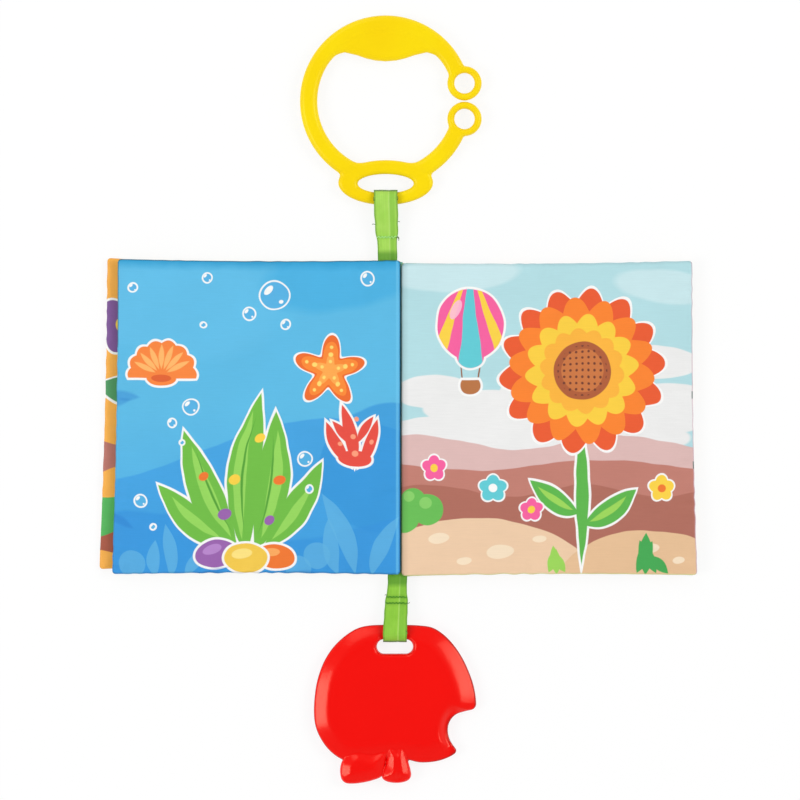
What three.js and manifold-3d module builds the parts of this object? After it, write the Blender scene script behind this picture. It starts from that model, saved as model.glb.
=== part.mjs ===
// A crinkle cloth book that lies open at its middle spread, with a hang ring at the head of the
// spine and an apple teether at its foot.
// Millimetres. +Z points up out of the open pages, +Y towards the hang ring, +X to the right page.
// The origin is the middle of the spine, on the flat underside of its outer cloth.
import * as THREE from "three";
import { mergeVertices } from "three/addons/utils/BufferGeometryUtils.js";
import Module from "manifold-3d";

const wasm = await Module();
wasm.setup();

// Clearances and overruns
const touchGap = 0.3; // between pieces that lie against each other
const bendGap = 0.4; // from the line where a ribbon bends to its sewn end, and to its free loop
const gutterGap = 0.4; // from the fold in the gutter to a cover's inner seam
const pageGap = 0.6; // between the two pages' inner seams, which meet above the fold
const cutOverrun = 3; // how far a cutting solid runs past what it cuts

// Leaves: two sewn cloth panels with crinkle film and wadding between them
const pageWidth = 137;
const leafHeight = 150;
const leafThickness = 4;
const clothThickness = 0.45;
const filmThickness = 0.4;
const crownRun = 16; // from a seam to where the leaf has its full thickness
const paddingInsetShare = 0.56; // of the crown's run, from a seam to the film and the wadding
const leafCorner = 4;
const flatCut = 0.5; // how much of a cover's crown is flat where the book lies on it
const drawIn = 0.8; // how far a long seam pulls in between two corners
const puckerDepth = 0.3; // puckers along the seams
const middleCells = 6;

// Each leaf's corners, which are never quite square: its width at the foot and at the head as shares
// of the page width, and its head and foot at the gutter and outside as shares of half its height
const leaves = {
  cover_front: {
    side: -1, onTop: false,
    widthShares: [1.05, 1.022], headShares: [0.995, 1.016], footShares: [0.995, 0.968],
  },
  page_left: {
    side: -1, onTop: true,
    widthShares: [1.004, 0.984], headShares: [0.995, 1.003], footShares: [1, 0.997],
  },
  page_right: {
    side: 1, onTop: true,
    widthShares: [1.029, 1.012], headShares: [0.977, 0.991], footShares: [1.009, 1.003],
  },
  cover_back: {
    side: 1, onTop: false,
    widthShares: [1.025, 1.009], headShares: [0.981, 0.985], footShares: [1.016, 1.008],
  },
};

// Spine
const spineClothThickness = 0.45;
const spineClothShare = 0.18; // of the crown's run, that the outer cloth reaches under each leaf
const foldHalf = 0.8; // the stitched-down fold of the inner cloth
const threadRadius = 0.3;
const spineStitches = 20;
const spineStitchWave = 0.15;

// Ribbons: a strip folded in two, sewn flat near the book and open in a loop round a bar
const ribbonWidth = 11.4;
const ribbonRootWidth = 9.1;
const ribbonThickness = 0.6;
const ribbonEndLength = 1.2; // of the sewn-in end that shows past the leaves
const barClearance = 0.5; // between a bar's turning circle and the loop round it
const stitchInset = 1.5; // from a ribbon's edge to the leg of its stitch row
const stitchRun = 1.5; // from a stitch row to where the loop opens
const stitchZigzag = 0.5;
const headRibbonRun = { rootX: -6.4, barX: -7.3, reach: 26.8, stitchAt: [8.6] };
const footRibbonRun = { rootX: -1.7, barX: -2.9, reach: 24.1, stitchAt: [7.2, 10.1] };

// Hang ring
const ringRadius = 36.7; // of the middle of the band
const ringBandWidth = 8.3;
const ringThickness = 5;
const ringEdge = 1.4; // bevel
const loopCentreRadius = 38.5;
const loopOuterRadius = 8.2;
const loopHoleRadius = 4.8;
const loopGap = 0.6; // the mouth of the ring
const gripDepth = 22;
const gripThickness = 4.2;
const gripHalfAngleShare = 0.22; // of half a turn
const gripShoulderShares = [0.56, 0.64]; // of the ring's radius, across and up from its middle
const gripEndShare = 0.7;
const gripBellyShare = 0.4;
const eyeletSpare = 7.6; // free room in the eyelet beside the ribbon
const eyeletSide = 9.3; // plastic beside the eyelet's hole
const eyeletHoleHalfHeight = 4.5;
const eyeletBar = 5.7;
const eyeletArch = 6.7;
const eyeletThickness = 3.8;
const eyeletEdge = 1;
const bandBottomAboveBar = 2.95; // from the bar's upper edge to the band's outer circle

// Teether
const teetherWidth = 77.2;
const teetherHeight = 65.4; // of the apple's body, without leaf and stem
const teetherThickness = 6.5;
const teetherEdge = 1.9;
const slotSpare = 2.85; // free room in the slot beside the ribbon
const slotHeight = 6.7;
const teetherBar = 6.7; // from the apple's edge to the slot
const teetherBarThickness = 3.2;
const reliefSpare = 1.2; // how far the bar is thinned beside the ribbon
const leafLobeWidth = 22;
const leafLobeHeight = 16;
const leafLobeThickness = 7.2;
const stemWidth = 14.2;
const stemHeight = 18.1;
const stemThickness = 8;

// Places that follow from the sizes above
const coverLevel = leafThickness / 2;
const pageLevel = leafThickness * 1.5 + touchGap;
const seamHalf = touchGap / 2;
const halfHeight = leafHeight / 2;
const coverGutter = foldHalf + gutterGap; // from the middle of the spine to a cover's inner seam
const threadTop = pageLevel - seamHalf - clothThickness - touchGap * 2; // under the pages' edges
const foldTop = threadTop - (threadRadius + spineStitchWave) * 2 - touchGap;
const paddingInset = crownRun * paddingInsetShare;
const loopHalfRound = (bar, thick) => Math.hypot(bar / 2, thick / 2) + barClearance + ribbonThickness;
const headRibbon = { ...headRibbonRun, loopHalf: loopHalfRound(eyeletBar, eyeletThickness) };
const footRibbon = { ...footRibbonRun, loopHalf: loopHalfRound(teetherBar, teetherBarThickness) };
const ribbonLevelOf = (ribbon) => ribbon.loopHalf + touchGap / 3;

// Colours and finishes
const finishes = {
  blueCloth: { color: 0x4aa6e0, roughness: 0.85 },
  aquaCloth: { color: 0xb6dee3, roughness: 0.85 },
  orangeCloth: { color: 0xffb545, roughness: 0.85 },
  creamCloth: { color: 0xefccaa, roughness: 0.85 },
  wadding: { color: 0xf4f4f0, roughness: 1 },
  film: { color: 0xe8eef2, roughness: 0.25 },
  greenRibbon: { color: 0x96d23c, roughness: 0.7 },
  thread: { color: 0x5fae35, roughness: 0.6 },
  yellowPlastic: { color: 0xfde000, roughness: 0.35 },
  redPlastic: { color: 0xf80202, roughness: 0.2 },
};

function pieceOf(name, geometry, finish) {
  const material = new THREE.MeshStandardMaterial({ ...finishes[finish], metalness: 0 });
  const mesh = new THREE.Mesh(geometry, material);
  mesh.name = name;
  return mesh;
}

// Solids that are joined and cut
function solidOf(geometry) {
  const bare = geometry.clone();
  bare.deleteAttribute("normal");
  bare.deleteAttribute("uv");
  const merged = mergeVertices(bare);
  const mesh = new wasm.Mesh({
    numProp: 3,
    vertProperties: merged.getAttribute("position").array,
    triVerts: new Uint32Array(merged.index.array),
  });
  return new wasm.Manifold(mesh);
}

function geometryOf(solid) {
  const mesh = solid.getMesh();
  const geometry = new THREE.BufferGeometry();
  geometry.setAttribute("position", new THREE.BufferAttribute(mesh.vertProperties, 3));
  geometry.setIndex(new THREE.BufferAttribute(mesh.triVerts, 1));
  geometry.computeVertexNormals();
  return geometry;
}

// A flat moulding in the XY plane, half its thickness above and half below, with bevelled edges
function moulding(shape, thickness, edge, curveSegments) {
  const geometry = new THREE.ExtrudeGeometry(shape, {
    depth: thickness - 2 * edge,
    bevelThickness: edge,
    bevelSize: edge,
    bevelOffset: -edge,
    bevelSegments: 2,
    curveSegments,
  });
  geometry.translate(0, 0, edge - thickness / 2);
  return geometry;
}

function boxBetween(low, high) {
  const size = high.clone().sub(low);
  const geometry = new THREE.BoxGeometry(size.x, size.y, size.z);
  const middle = low.clone().add(high).divideScalar(2);
  return geometry.translate(middle.x, middle.y, middle.z);
}

// A section with cut corners, for swept and turned plastic
function cutCornerSection(halfX, halfY, corner) {
  const points = [
    [halfX, halfY - corner], [halfX - corner, halfY], [corner - halfX, halfY], [-halfX, halfY - corner],
    [-halfX, corner - halfY], [corner - halfX, -halfY], [halfX - corner, -halfY], [halfX, corner - halfY],
  ];
  return points.map(([x, y]) => new THREE.Vector2(x, y));
}

// Leaves
// A leaf is laid out by u, the distance from its gutter seam, and v, the distance from its foot.
function leafWidth(leaf, b) {
  return pageWidth * THREE.MathUtils.lerp(...leaf.widthShares, b);
}

function headOf(leaf, a) {
  return halfHeight * THREE.MathUtils.lerp(...leaf.headShares, a);
}

function footOf(leaf, a) {
  return -halfHeight * THREE.MathUtils.lerp(...leaf.footShares, a);
}

// A square corner of the layout moved onto the round corner of the leaf
function roundCorner(u, v) {
  const inU = u < leafCorner ? leafCorner - u : Math.min(0, pageWidth - leafCorner - u);
  const inV = v < leafCorner ? leafCorner - v : Math.min(0, leafHeight - leafCorner - v);
  if (inU === 0 || inV === 0) return [u, v];
  const round = Math.max(Math.abs(inU), Math.abs(inV)) / Math.hypot(inU, inV);
  return [u + inU * (1 - round), v + inV * (1 - round)];
}

function leafPoint(leaf, u, v) {
  const [ru, rv] = roundCorner(u, v);
  const a = ru / pageWidth;
  const b = rv / leafHeight;
  const pullX = drawIn * a * 4 * b * (1 - b);
  const pullY = (drawIn / halfHeight) * 4 * a * (1 - a);
  const gutter = leaf.onTop ? pageGap / 2 : coverGutter;
  const x = gutter + a * (leafWidth(leaf, b) - gutter) - pullX;
  const y = THREE.MathUtils.lerp(footOf(leaf, a), headOf(leaf, a), b) * (1 - pullY);
  return [leaf.side * x, y];
}

function rise(distance) {
  return distance < crownRun ? 1 - (1 - distance / crownRun) ** 2 : 1;
}

function crownAt(u, v) {
  return rise(u) * rise(pageWidth - u) * rise(v) * rise(leafHeight - v);
}

// Seams pucker on every other line of the layout, just inside the stitching
function puckerAt(u, v, uLines, vLines) {
  const alongSide = u === leafCorner || u === pageWidth - leafCorner;
  const alongEnd = v === leafCorner || v === leafHeight - leafCorner;
  if (alongSide === alongEnd || crownAt(u, v) === 0) return 0;
  const step = alongSide ? vLines.indexOf(v) : uLines.indexOf(u);
  return step % 2 ? puckerDepth : 0;
}

function linesAcross(length) {
  const near = [0, leafCorner, paddingInset, crownRun];
  const cell = (length - 2 * crownRun) / middleCells;
  const between = Array.from({ length: middleCells - 1 }, (_, i) => crownRun + cell * (i + 1));
  return [...near, ...between, ...near.map((distance) => length - distance).reverse()];
}

const uLines = linesAcross(pageWidth);
const vLines = linesAcross(leafHeight);

// The padding keeps the lines round its edge and every third line between them
function paddingLines(lines) {
  const inner = lines.slice(2, -2);
  return inner.filter((_, i) => i < 2 || i > inner.length - 3 || i % 3 === 0);
}

function leafFaces(leaf) {
  const middle = leaf.onTop ? pageLevel : coverLevel;
  const base = middle - leafThickness / 2;
  const seam = seamHalf + clothThickness;
  const cut = leaf.onTop ? 0 : flatCut;
  const half = leafThickness / 2 - seam;
  return {
    top: (u, v) => middle + seam + half * crownAt(u, v) - puckerAt(u, v, uLines, vLines),
    bottom: (u, v) => {
      const crowned = middle - seam - (half + cut) * crownAt(u, v) + puckerAt(u, v, uLines, vLines);
      return Math.max(base, crowned);
    },
  };
}

// A closed sheet between two surfaces over the layout's lines
function sheetBetween(leaf, acrossLines, alongLines, topSurface, bottomSurface) {
  const columns = acrossLines.length;
  const rows = alongLines.length;
  const positions = [];
  for (const surface of [topSurface, bottomSurface]) {
    for (const v of alongLines) {
      for (const u of acrossLines) {
        positions.push(...leafPoint(leaf, u, v), surface(u, v));
      }
    }
  }
  const at = (layer, row, column) => layer * rows * columns + row * columns + column;
  const faces = [];
  const quad = (a, b, c, d) => faces.push([a, b, c], [a, c, d]);
  for (let row = 0; row < rows - 1; row++) {
    for (let column = 0; column < columns - 1; column++) {
      const ring = [[row, column], [row, column + 1], [row + 1, column + 1], [row + 1, column]];
      quad(...ring.map(([r, c]) => at(0, r, c)));
      quad(...ring.map(([r, c]) => at(1, r, c)).reverse());
    }
  }
  const wall = (row, column, nextRow, nextColumn) =>
    quad(at(1, row, column), at(1, nextRow, nextColumn), at(0, nextRow, nextColumn), at(0, row, column));
  for (let column = 0; column < columns - 1; column++) {
    wall(0, column, 0, column + 1);
    wall(rows - 1, column + 1, rows - 1, column);
  }
  for (let row = 0; row < rows - 1; row++) {
    wall(row, columns - 1, row + 1, columns - 1);
    wall(row + 1, 0, row, 0);
  }
  const geometry = new THREE.BufferGeometry();
  geometry.setAttribute("position", new THREE.Float32BufferAttribute(positions, 3));
  const turned = leaf.side < 0 ? faces.map(([a, b, c]) => [a, c, b]) : faces;
  geometry.setIndex(turned.flat());
  geometry.computeVertexNormals();
  return geometry;
}

function makeLeaf(name, topFinish, bottomFinish) {
  const leaf = leaves[name];
  const { top, bottom } = leafFaces(leaf);
  const lowered = (surface, drop) => (u, v) => surface(u, v) - drop;
  const filmTop = clothThickness + touchGap;
  const filmBottom = filmTop + filmThickness;
  const waddingTop = filmBottom + touchGap;
  const padU = paddingLines(uLines);
  const padV = paddingLines(vLines);
  const upper = sheetBetween(leaf, uLines, vLines, top, lowered(top, clothThickness));
  const lower = sheetBetween(leaf, uLines, vLines, lowered(bottom, -clothThickness), bottom);
  const film = sheetBetween(leaf, padU, padV, lowered(top, filmTop), lowered(top, filmBottom));
  const wadding = sheetBetween(leaf, padU, padV, lowered(top, waddingTop), lowered(bottom, -filmTop));
  const group = new THREE.Group();
  group.add(pieceOf(name + "_upper_cloth", upper, topFinish));
  group.add(pieceOf(name + "_lower_cloth", lower, bottomFinish));
  group.add(pieceOf(name + "_crinkle_film", film, "film"));
  group.add(pieceOf(name + "_wadding", wadding, "wadding"));
  return group;
}

// Spine
// It is as long as the leaves are beside the ribbons.
const ribbonFarEdge = (ribbon) => Math.abs(ribbon.rootX) + ribbonRootWidth / 2;
const edgeShare = Math.max(ribbonFarEdge(headRibbon), ribbonFarEdge(footRibbon)) / pageWidth;
const allLeaves = Object.values(leaves);
const spineHead = Math.max(...allLeaves.flatMap((leaf) => [headOf(leaf, 0), headOf(leaf, edgeShare)]));
const spineFoot = Math.min(...allLeaves.flatMap((leaf) => [footOf(leaf, 0), footOf(leaf, edgeShare)]));

function makeOuterSpineCloth() {
  const spineClothHalf = coverGutter + crownRun * spineClothShare;
  const low = new THREE.Vector3(-spineClothHalf, spineFoot, 0);
  const high = new THREE.Vector3(spineClothHalf, spineHead, spineClothThickness);
  return pieceOf("spine_outer_cloth", boxBetween(low, high), "orangeCloth");
}

function makeInnerSpineCloth() {
  const low = spineClothThickness + touchGap;
  const section = new THREE.Shape();
  section.moveTo(-foldHalf, low);
  section.lineTo(foldHalf, low);
  section.lineTo(foldHalf, foldTop - foldHalf / 2);
  section.lineTo(foldHalf / 2, foldTop);
  section.lineTo(-foldHalf / 2, foldTop);
  section.lineTo(-foldHalf, foldTop - foldHalf / 2);
  const geometry = new THREE.ExtrudeGeometry(section, { depth: spineHead - spineFoot, bevelEnabled: false });
  geometry.rotateX(Math.PI / 2);
  geometry.translate(0, spineHead, 0);
  return pieceOf("spine_inner_cloth", geometry, "creamCloth");
}

class RunningStitch extends THREE.Curve {
  constructor(from, to, level) {
    super();
    this.from = from;
    this.to = to;
    this.level = level;
  }
  getPoint(t, target = new THREE.Vector3()) {
    const lift = spineStitchWave * Math.cos(2 * Math.PI * spineStitches * t);
    return target.set(0, THREE.MathUtils.lerp(this.from, this.to, t), this.level + lift);
  }
}

function threadAlong(curve, steps) {
  const section = new THREE.Shape();
  section.moveTo(threadRadius, 0);
  section.lineTo(0, threadRadius);
  section.lineTo(-threadRadius, 0);
  section.lineTo(0, -threadRadius);
  return new THREE.ExtrudeGeometry(section, { extrudePath: curve, steps, bevelEnabled: false });
}

function makeSpineStitching() {
  const level = threadTop - threadRadius - spineStitchWave;
  const stitch = new RunningStitch(spineFoot + leafCorner, spineHead - leafCorner, level);
  return pieceOf("spine_stitching", threadAlong(stitch, spineStitches * 3), "thread");
}

// Ribbons
// Each ribbon is laid out along +Y from the line where it bends, in its own frame.
function tangentAngle(from, radius, centre) {
  const apart = from.clone().sub(centre);
  return apart.angle() - Math.acos(radius / apart.length());
}

function ribbonOutline(ribbon) {
  const centre = new THREE.Vector2(ribbon.reach, 0);
  const opensAt = Math.max(...ribbon.stitchAt) + stitchRun;
  const outer = tangentAngle(new THREE.Vector2(opensAt, ribbonThickness), ribbon.loopHalf, centre);
  const inner = tangentAngle(new THREE.Vector2(opensAt, 0), ribbon.loopHalf - ribbonThickness, centre);
  const outline = new THREE.Shape();
  outline.moveTo(-bendGap, -ribbonThickness);
  outline.lineTo(opensAt, -ribbonThickness);
  outline.absarc(ribbon.reach, 0, ribbon.loopHalf, -outer, outer, false);
  outline.lineTo(opensAt, ribbonThickness);
  outline.lineTo(-bendGap, ribbonThickness);
  const inside = new THREE.Path();
  inside.absarc(ribbon.reach, 0, ribbon.loopHalf - ribbonThickness, inner, -inner, true);
  inside.lineTo(opensAt, 0);
  outline.holes.push(inside);
  return outline;
}

function widthAlong(ribbon, distance) {
  const share = THREE.MathUtils.clamp(distance / ribbon.stitchAt[0], 0, 1);
  return THREE.MathUtils.lerp(ribbonRootWidth, ribbonWidth, share);
}

function centreAlong(ribbon, distance) {
  const share = THREE.MathUtils.clamp(distance / ribbon.reach, 0, 1);
  return THREE.MathUtils.lerp(ribbon.rootX, ribbon.barX, share);
}

function stitchLegs(ribbon, distance) {
  const middle = centreAlong(ribbon, distance);
  const half = widthAlong(ribbon, distance) / 2 - stitchInset;
  return [middle - half, middle + half];
}

function makeRibbonLoop(name, ribbon) {
  const geometry = new THREE.ExtrudeGeometry(ribbonOutline(ribbon), {
    depth: 1,
    bevelEnabled: false,
    curveSegments: 16,
  });
  const position = geometry.getAttribute("position");
  for (let i = 0; i < position.count; i++) {
    const along = position.getX(i);
    const across = position.getZ(i) - 1 / 2;
    const x = centreAlong(ribbon, along) + across * widthAlong(ribbon, along);
    position.setXYZ(i, x, along, position.getY(i));
  }
  const holeHalf = threadRadius + touchGap;
  let loop = solidOf(geometry);
  for (const distance of ribbon.stitchAt) {
    for (const leg of stitchLegs(ribbon, distance)) {
      const low = new THREE.Vector3(leg - holeHalf, distance - holeHalf, -ribbonThickness - touchGap);
      const high = new THREE.Vector3(leg + holeHalf, distance + holeHalf, ribbonThickness + touchGap);
      loop = loop.subtract(solidOf(boxBetween(low, high)));
    }
  }
  return pieceOf(name, geometryOf(loop), "greenRibbon");
}

// One stitch row: a zigzag on the front, down through the ribbon at both ends and back underneath
function makeStitchRow(name, ribbon, distance) {
  const [left, right] = stitchLegs(ribbon, distance);
  const level = ribbonThickness + touchGap + threadRadius;
  const turn = threadRadius * 2;
  const middle = (left + right) / 2;
  const zigzags = 5;
  const points = [
    new THREE.Vector3(middle - turn, distance, -level),
    new THREE.Vector3(left + turn, distance, -level),
    new THREE.Vector3(left, distance, -level + turn),
    new THREE.Vector3(left, distance, level - turn),
  ];
  for (let i = 0; i <= zigzags; i++) {
    const x = THREE.MathUtils.lerp(left + turn, right - turn, i / zigzags);
    const side = i % 2 ? stitchZigzag : -stitchZigzag;
    points.push(new THREE.Vector3(x, distance + side, level));
  }
  points.push(
    new THREE.Vector3(right, distance, level - turn),
    new THREE.Vector3(right, distance, -level + turn),
    new THREE.Vector3(right - turn, distance, -level),
    new THREE.Vector3(middle + turn, distance, -level),
  );
  const path = new THREE.CatmullRomCurve3(points, false, "centripetal");
  return pieceOf(name, threadAlong(path, 40), "thread");
}

// The sewn-in end of a ribbon, where it comes out between the leaves, reaching to the spine's fold
function makeRibbonEnd(name, ribbon, edge, out) {
  const near = edge + out * touchGap;
  const far = near + out * ribbonEndLength;
  const left = ribbon.rootX - ribbonRootWidth / 2;
  const right = ribbon.rootX + ribbonRootWidth / 2;
  const shape = new THREE.Shape([
    new THREE.Vector2(left, near),
    new THREE.Vector2(Math.max(right, -foldHalf / 4), near),
    new THREE.Vector2(right, far),
    new THREE.Vector2(left, far),
  ]);
  const geometry = new THREE.ExtrudeGeometry(shape, { depth: ribbonThickness * 2, bevelEnabled: false });
  geometry.translate(0, 0, ribbonLevelOf(ribbon) - ribbonThickness);
  return pieceOf(name, geometry, "greenRibbon");
}

// Hang ring, in a frame with its origin in the middle of the bar that the ribbon goes round
const eyeletHoleHalfWidth = ribbonWidth / 2 + eyeletSpare;
const eyeletHalfWidth = eyeletHoleHalfWidth + eyeletSide;
const eyeletHoleMiddle = eyeletBar / 2 + eyeletHoleHalfHeight;
const eyeletHalfHeight = eyeletBar / 2 + eyeletHoleHalfHeight + eyeletArch / 2;
const ringMiddle = eyeletBar / 2 + bandBottomAboveBar + ringRadius + ringBandWidth / 2;
const loopAngle = Math.asin((loopOuterRadius + loopGap / 2) / loopCentreRadius);
const loopHoleAngle = Math.asin((loopHoleRadius + ringEdge) / loopCentreRadius);

class BandLine extends THREE.Curve {
  getPoint(t, target = new THREE.Vector3()) {
    const start = loopAngle + loopHoleAngle;
    const angle = THREE.MathUtils.lerp(start, 2 * Math.PI - start, t);
    return target.set(ringRadius * Math.cos(angle), ringRadius * Math.sin(angle), 0);
  }
}

function ringBand() {
  const section = new THREE.Shape(cutCornerSection(ringThickness / 2, ringBandWidth / 2, ringEdge));
  return new THREE.ExtrudeGeometry(section, { extrudePath: new BandLine(), steps: 40, bevelEnabled: false });
}

function ringEndLoop(side) {
  const halfWidth = (loopOuterRadius - loopHoleRadius) / 2;
  const section = cutCornerSection(halfWidth, ringThickness / 2, Math.min(ringEdge, halfWidth / 2));
  const profile = section.map((point) => new THREE.Vector2(point.x + loopHoleRadius + halfWidth, point.y));
  profile.push(profile[0].clone());
  const geometry = new THREE.LatheGeometry(profile, 18);
  geometry.rotateX(Math.PI / 2);
  const middle = new THREE.Vector2(loopCentreRadius, 0).rotateAround(new THREE.Vector2(), side * loopAngle);
  return geometry.translate(middle.x, middle.y, 0);
}

// The crescent that fills the ring's top
function ringGrip() {
  const outside = ringRadius + ringBandWidth / 2 - ringEdge;
  const half = Math.PI * gripHalfAngleShare;
  const lowest = ringRadius + ringBandWidth / 2 - gripDepth;
  const [shoulderX, shoulderY] = gripShoulderShares.map((share) => share * ringRadius);
  const endX = shoulderX * gripEndShare;
  const bellyX = shoulderX * gripBellyShare;
  const shape = new THREE.Shape();
  shape.absarc(0, 0, outside, Math.PI / 2 - half, Math.PI / 2 + half, false);
  shape.lineTo(-shoulderX, shoulderY);
  shape.bezierCurveTo(-endX, shoulderY, -bellyX, lowest, 0, lowest);
  shape.bezierCurveTo(bellyX, lowest, endX, shoulderY, shoulderX, shoulderY);
  return moulding(shape, gripThickness, ringEdge / 2, 8);
}

function ringEyelet() {
  const shape = new THREE.Shape();
  shape.absellipse(0, 0, eyeletHalfWidth, eyeletHalfHeight, 0, 2 * Math.PI, false);
  return moulding(shape, eyeletThickness, eyeletEdge, 16);
}

// The eyelet's hole, flared at both faces
function eyeletHole() {
  const straight = eyeletThickness / 2 - eyeletEdge;
  const flare = 1 + eyeletEdge / eyeletHoleHalfHeight;
  const far = ringThickness / 2 + cutOverrun;
  const profile = [[0, -far], [flare, -far], [flare, -eyeletThickness / 2], [1, -straight], [1, straight],
    [flare, eyeletThickness / 2], [flare, far], [0, far]];
  const geometry = new THREE.LatheGeometry(profile.map(([x, y]) => new THREE.Vector2(x, y)), 28);
  geometry.rotateX(Math.PI / 2);
  geometry.scale(eyeletHoleHalfWidth, eyeletHoleHalfHeight, 1);
  return geometry.translate(0, eyeletHoleMiddle, 0);
}

function makeHangRing() {
  const eyelet = ringEyelet().translate(0, eyeletHalfHeight - eyeletBar / 2, 0);
  const band = [ringBand(), ringEndLoop(1), ringEndLoop(-1), ringGrip()];
  const pieces = band.map((geometry) => solidOf(geometry.translate(0, ringMiddle, 0)));
  const joined = pieces.reduce((sum, piece) => sum.add(piece), solidOf(eyelet));
  return pieceOf("hang_ring", geometryOf(joined.subtract(solidOf(eyeletHole()))), "yellowPlastic");
}

// Teether, in a frame with its origin in the middle of the bar that the ribbon goes round
// Points clockwise from the top, as shares of the width from the left and of the height from the top
const appleShares = [
  [0.5, 0], [0.74, 0.04], [0.89, 0.19], [0.97, 0.42],
  [1, 0.58], [0.97, 0.61], [0.87, 0.65], [0.82, 0.75], [0.84, 0.84], [0.88, 0.91], [0.86, 0.94],
  [0.77, 0.985], [0.68, 1], [0.5, 0.96], [0.3, 1], [0.12, 0.92], [0.03, 0.76],
  [0, 0.56], [0.04, 0.34], [0.12, 0.18], [0.26, 0.04],
];
const leafLobeShares = [
  [1, 0.1], [0.8, 0.12], [0.45, 0.02], [0.2, 0.09], [0.05, 0.3], [0, 0.6], [0.1, 0.92], [0.3, 1],
  [0.65, 0.93], [0.95, 0.76],
];
const stemShares = [
  [0.2, 0.06], [0.32, 0], [0.48, 0.05], [0.66, 0], [0.78, 0.08], [0.88, 0.42], [1, 0.72], [0.96, 0.9],
  [0.75, 0.99], [0.4, 1], [0.15, 0.93], [0, 0.78], [0.1, 0.6], [0.17, 0.35],
];
const slotMiddleShare = 0.5;
const leafLobeLeftShare = 0.16;
const leafLobeTopShare = 0.9;
const stemLeftShare = 0.418;
const stemTopShare = 0.878;

function outlineOf(shares, left, top, width, height, steps) {
  const points = shares.map(([x, y]) => new THREE.Vector3(left + x * width, top - y * height, 0));
  const curve = new THREE.CatmullRomCurve3(points, true, "centripetal");
  const spaced = curve.getSpacedPoints(steps).slice(0, -1);
  return new THREE.Shape(spaced.map((point) => new THREE.Vector2(point.x, point.y)).reverse());
}

function makeTeether() {
  const left = -slotMiddleShare * teetherWidth;
  const top = teetherBar / 2;
  const at = (xShare, yShare) => [left + xShare * teetherWidth, top - yShare * teetherHeight];
  const body = outlineOf(appleShares, left, top, teetherWidth, teetherHeight, 72);
  const slot = new THREE.Path();
  const end = slotHeight / 2;
  const slotMiddle = top - teetherBar - end;
  const slotStraight = ribbonWidth / 2 + slotSpare - end;
  slot.absarc(slotStraight, slotMiddle, end, -Math.PI / 2, Math.PI / 2, false);
  slot.absarc(-slotStraight, slotMiddle, end, Math.PI / 2, (3 * Math.PI) / 2, false);
  body.holes.push(slot);
  const lobeCorner = at(leafLobeLeftShare, leafLobeTopShare);
  const stemCorner = at(stemLeftShare, stemTopShare);
  const lobe = outlineOf(leafLobeShares, ...lobeCorner, leafLobeWidth, leafLobeHeight, 24);
  const stem = outlineOf(stemShares, ...stemCorner, stemWidth, stemHeight, 26);
  let teether = solidOf(moulding(body, teetherThickness, teetherEdge, 6));
  teether = teether.add(solidOf(moulding(lobe, leafLobeThickness, teetherEdge, 6)));
  teether = teether.add(solidOf(moulding(stem, stemThickness, teetherEdge, 6)));
  const reliefHalf = ribbonWidth / 2 + reliefSpare;
  for (const side of [-1, 1]) {
    const inner = (side * teetherBarThickness) / 2;
    const outer = side * (teetherThickness / 2 + cutOverrun);
    const low = new THREE.Vector3(-reliefHalf, slotMiddle, Math.min(inner, outer));
    const high = new THREE.Vector3(reliefHalf, top + cutOverrun, Math.max(inner, outer));
    teether = teether.subtract(solidOf(boxBetween(low, high)));
  }
  return pieceOf("apple_teether", geometryOf(teether), "redPlastic");
}

// Assembly
const headBend = spineHead + touchGap + ribbonEndLength + bendGap * 2;
const footBend = spineFoot - touchGap - ribbonEndLength - bendGap * 2;

function makeSewnRibbon(name, ribbon, stitchNames) {
  const group = new THREE.Group();
  group.add(makeRibbonLoop(name, ribbon));
  stitchNames.forEach((stitchName, i) => group.add(makeStitchRow(stitchName, ribbon, ribbon.stitchAt[i])));
  return group;
}

const book = new THREE.Group();
book.add(makeLeaf("cover_front", "orangeCloth", "orangeCloth"));
book.add(makeLeaf("page_left", "blueCloth", "creamCloth"));
book.add(makeLeaf("page_right", "aquaCloth", "creamCloth"));
book.add(makeLeaf("cover_back", "orangeCloth", "orangeCloth"));
book.add(makeOuterSpineCloth(), makeInnerSpineCloth(), makeSpineStitching());
book.add(makeRibbonEnd("head_ribbon_sewn_end", headRibbon, spineHead, 1));
book.add(makeRibbonEnd("foot_ribbon_sewn_end", footRibbon, spineFoot, -1));

const headLoop = makeSewnRibbon("head_ribbon_loop", headRibbon, ["head_ribbon_stitch"]);
headLoop.position.set(0, headBend, ribbonLevelOf(headRibbon));
const hangRing = makeHangRing();
hangRing.position.set(headRibbon.barX, headBend + headRibbon.reach, ribbonLevelOf(headRibbon));
book.add(headLoop, hangRing);

// The foot ribbon is laid out like the head ribbon and turned over to run towards -Y
const footStitches = ["foot_ribbon_stitch_1", "foot_ribbon_stitch_2"];
const footLoop = makeSewnRibbon("foot_ribbon_loop", footRibbon, footStitches);
footLoop.scale.y = -1;
footLoop.position.set(0, footBend, ribbonLevelOf(footRibbon));
const teether = makeTeether();
teether.position.set(footRibbon.barX, footBend - footRibbon.reach, ribbonLevelOf(footRibbon));
book.add(footLoop, teether);

export default book;
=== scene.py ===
import math

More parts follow.
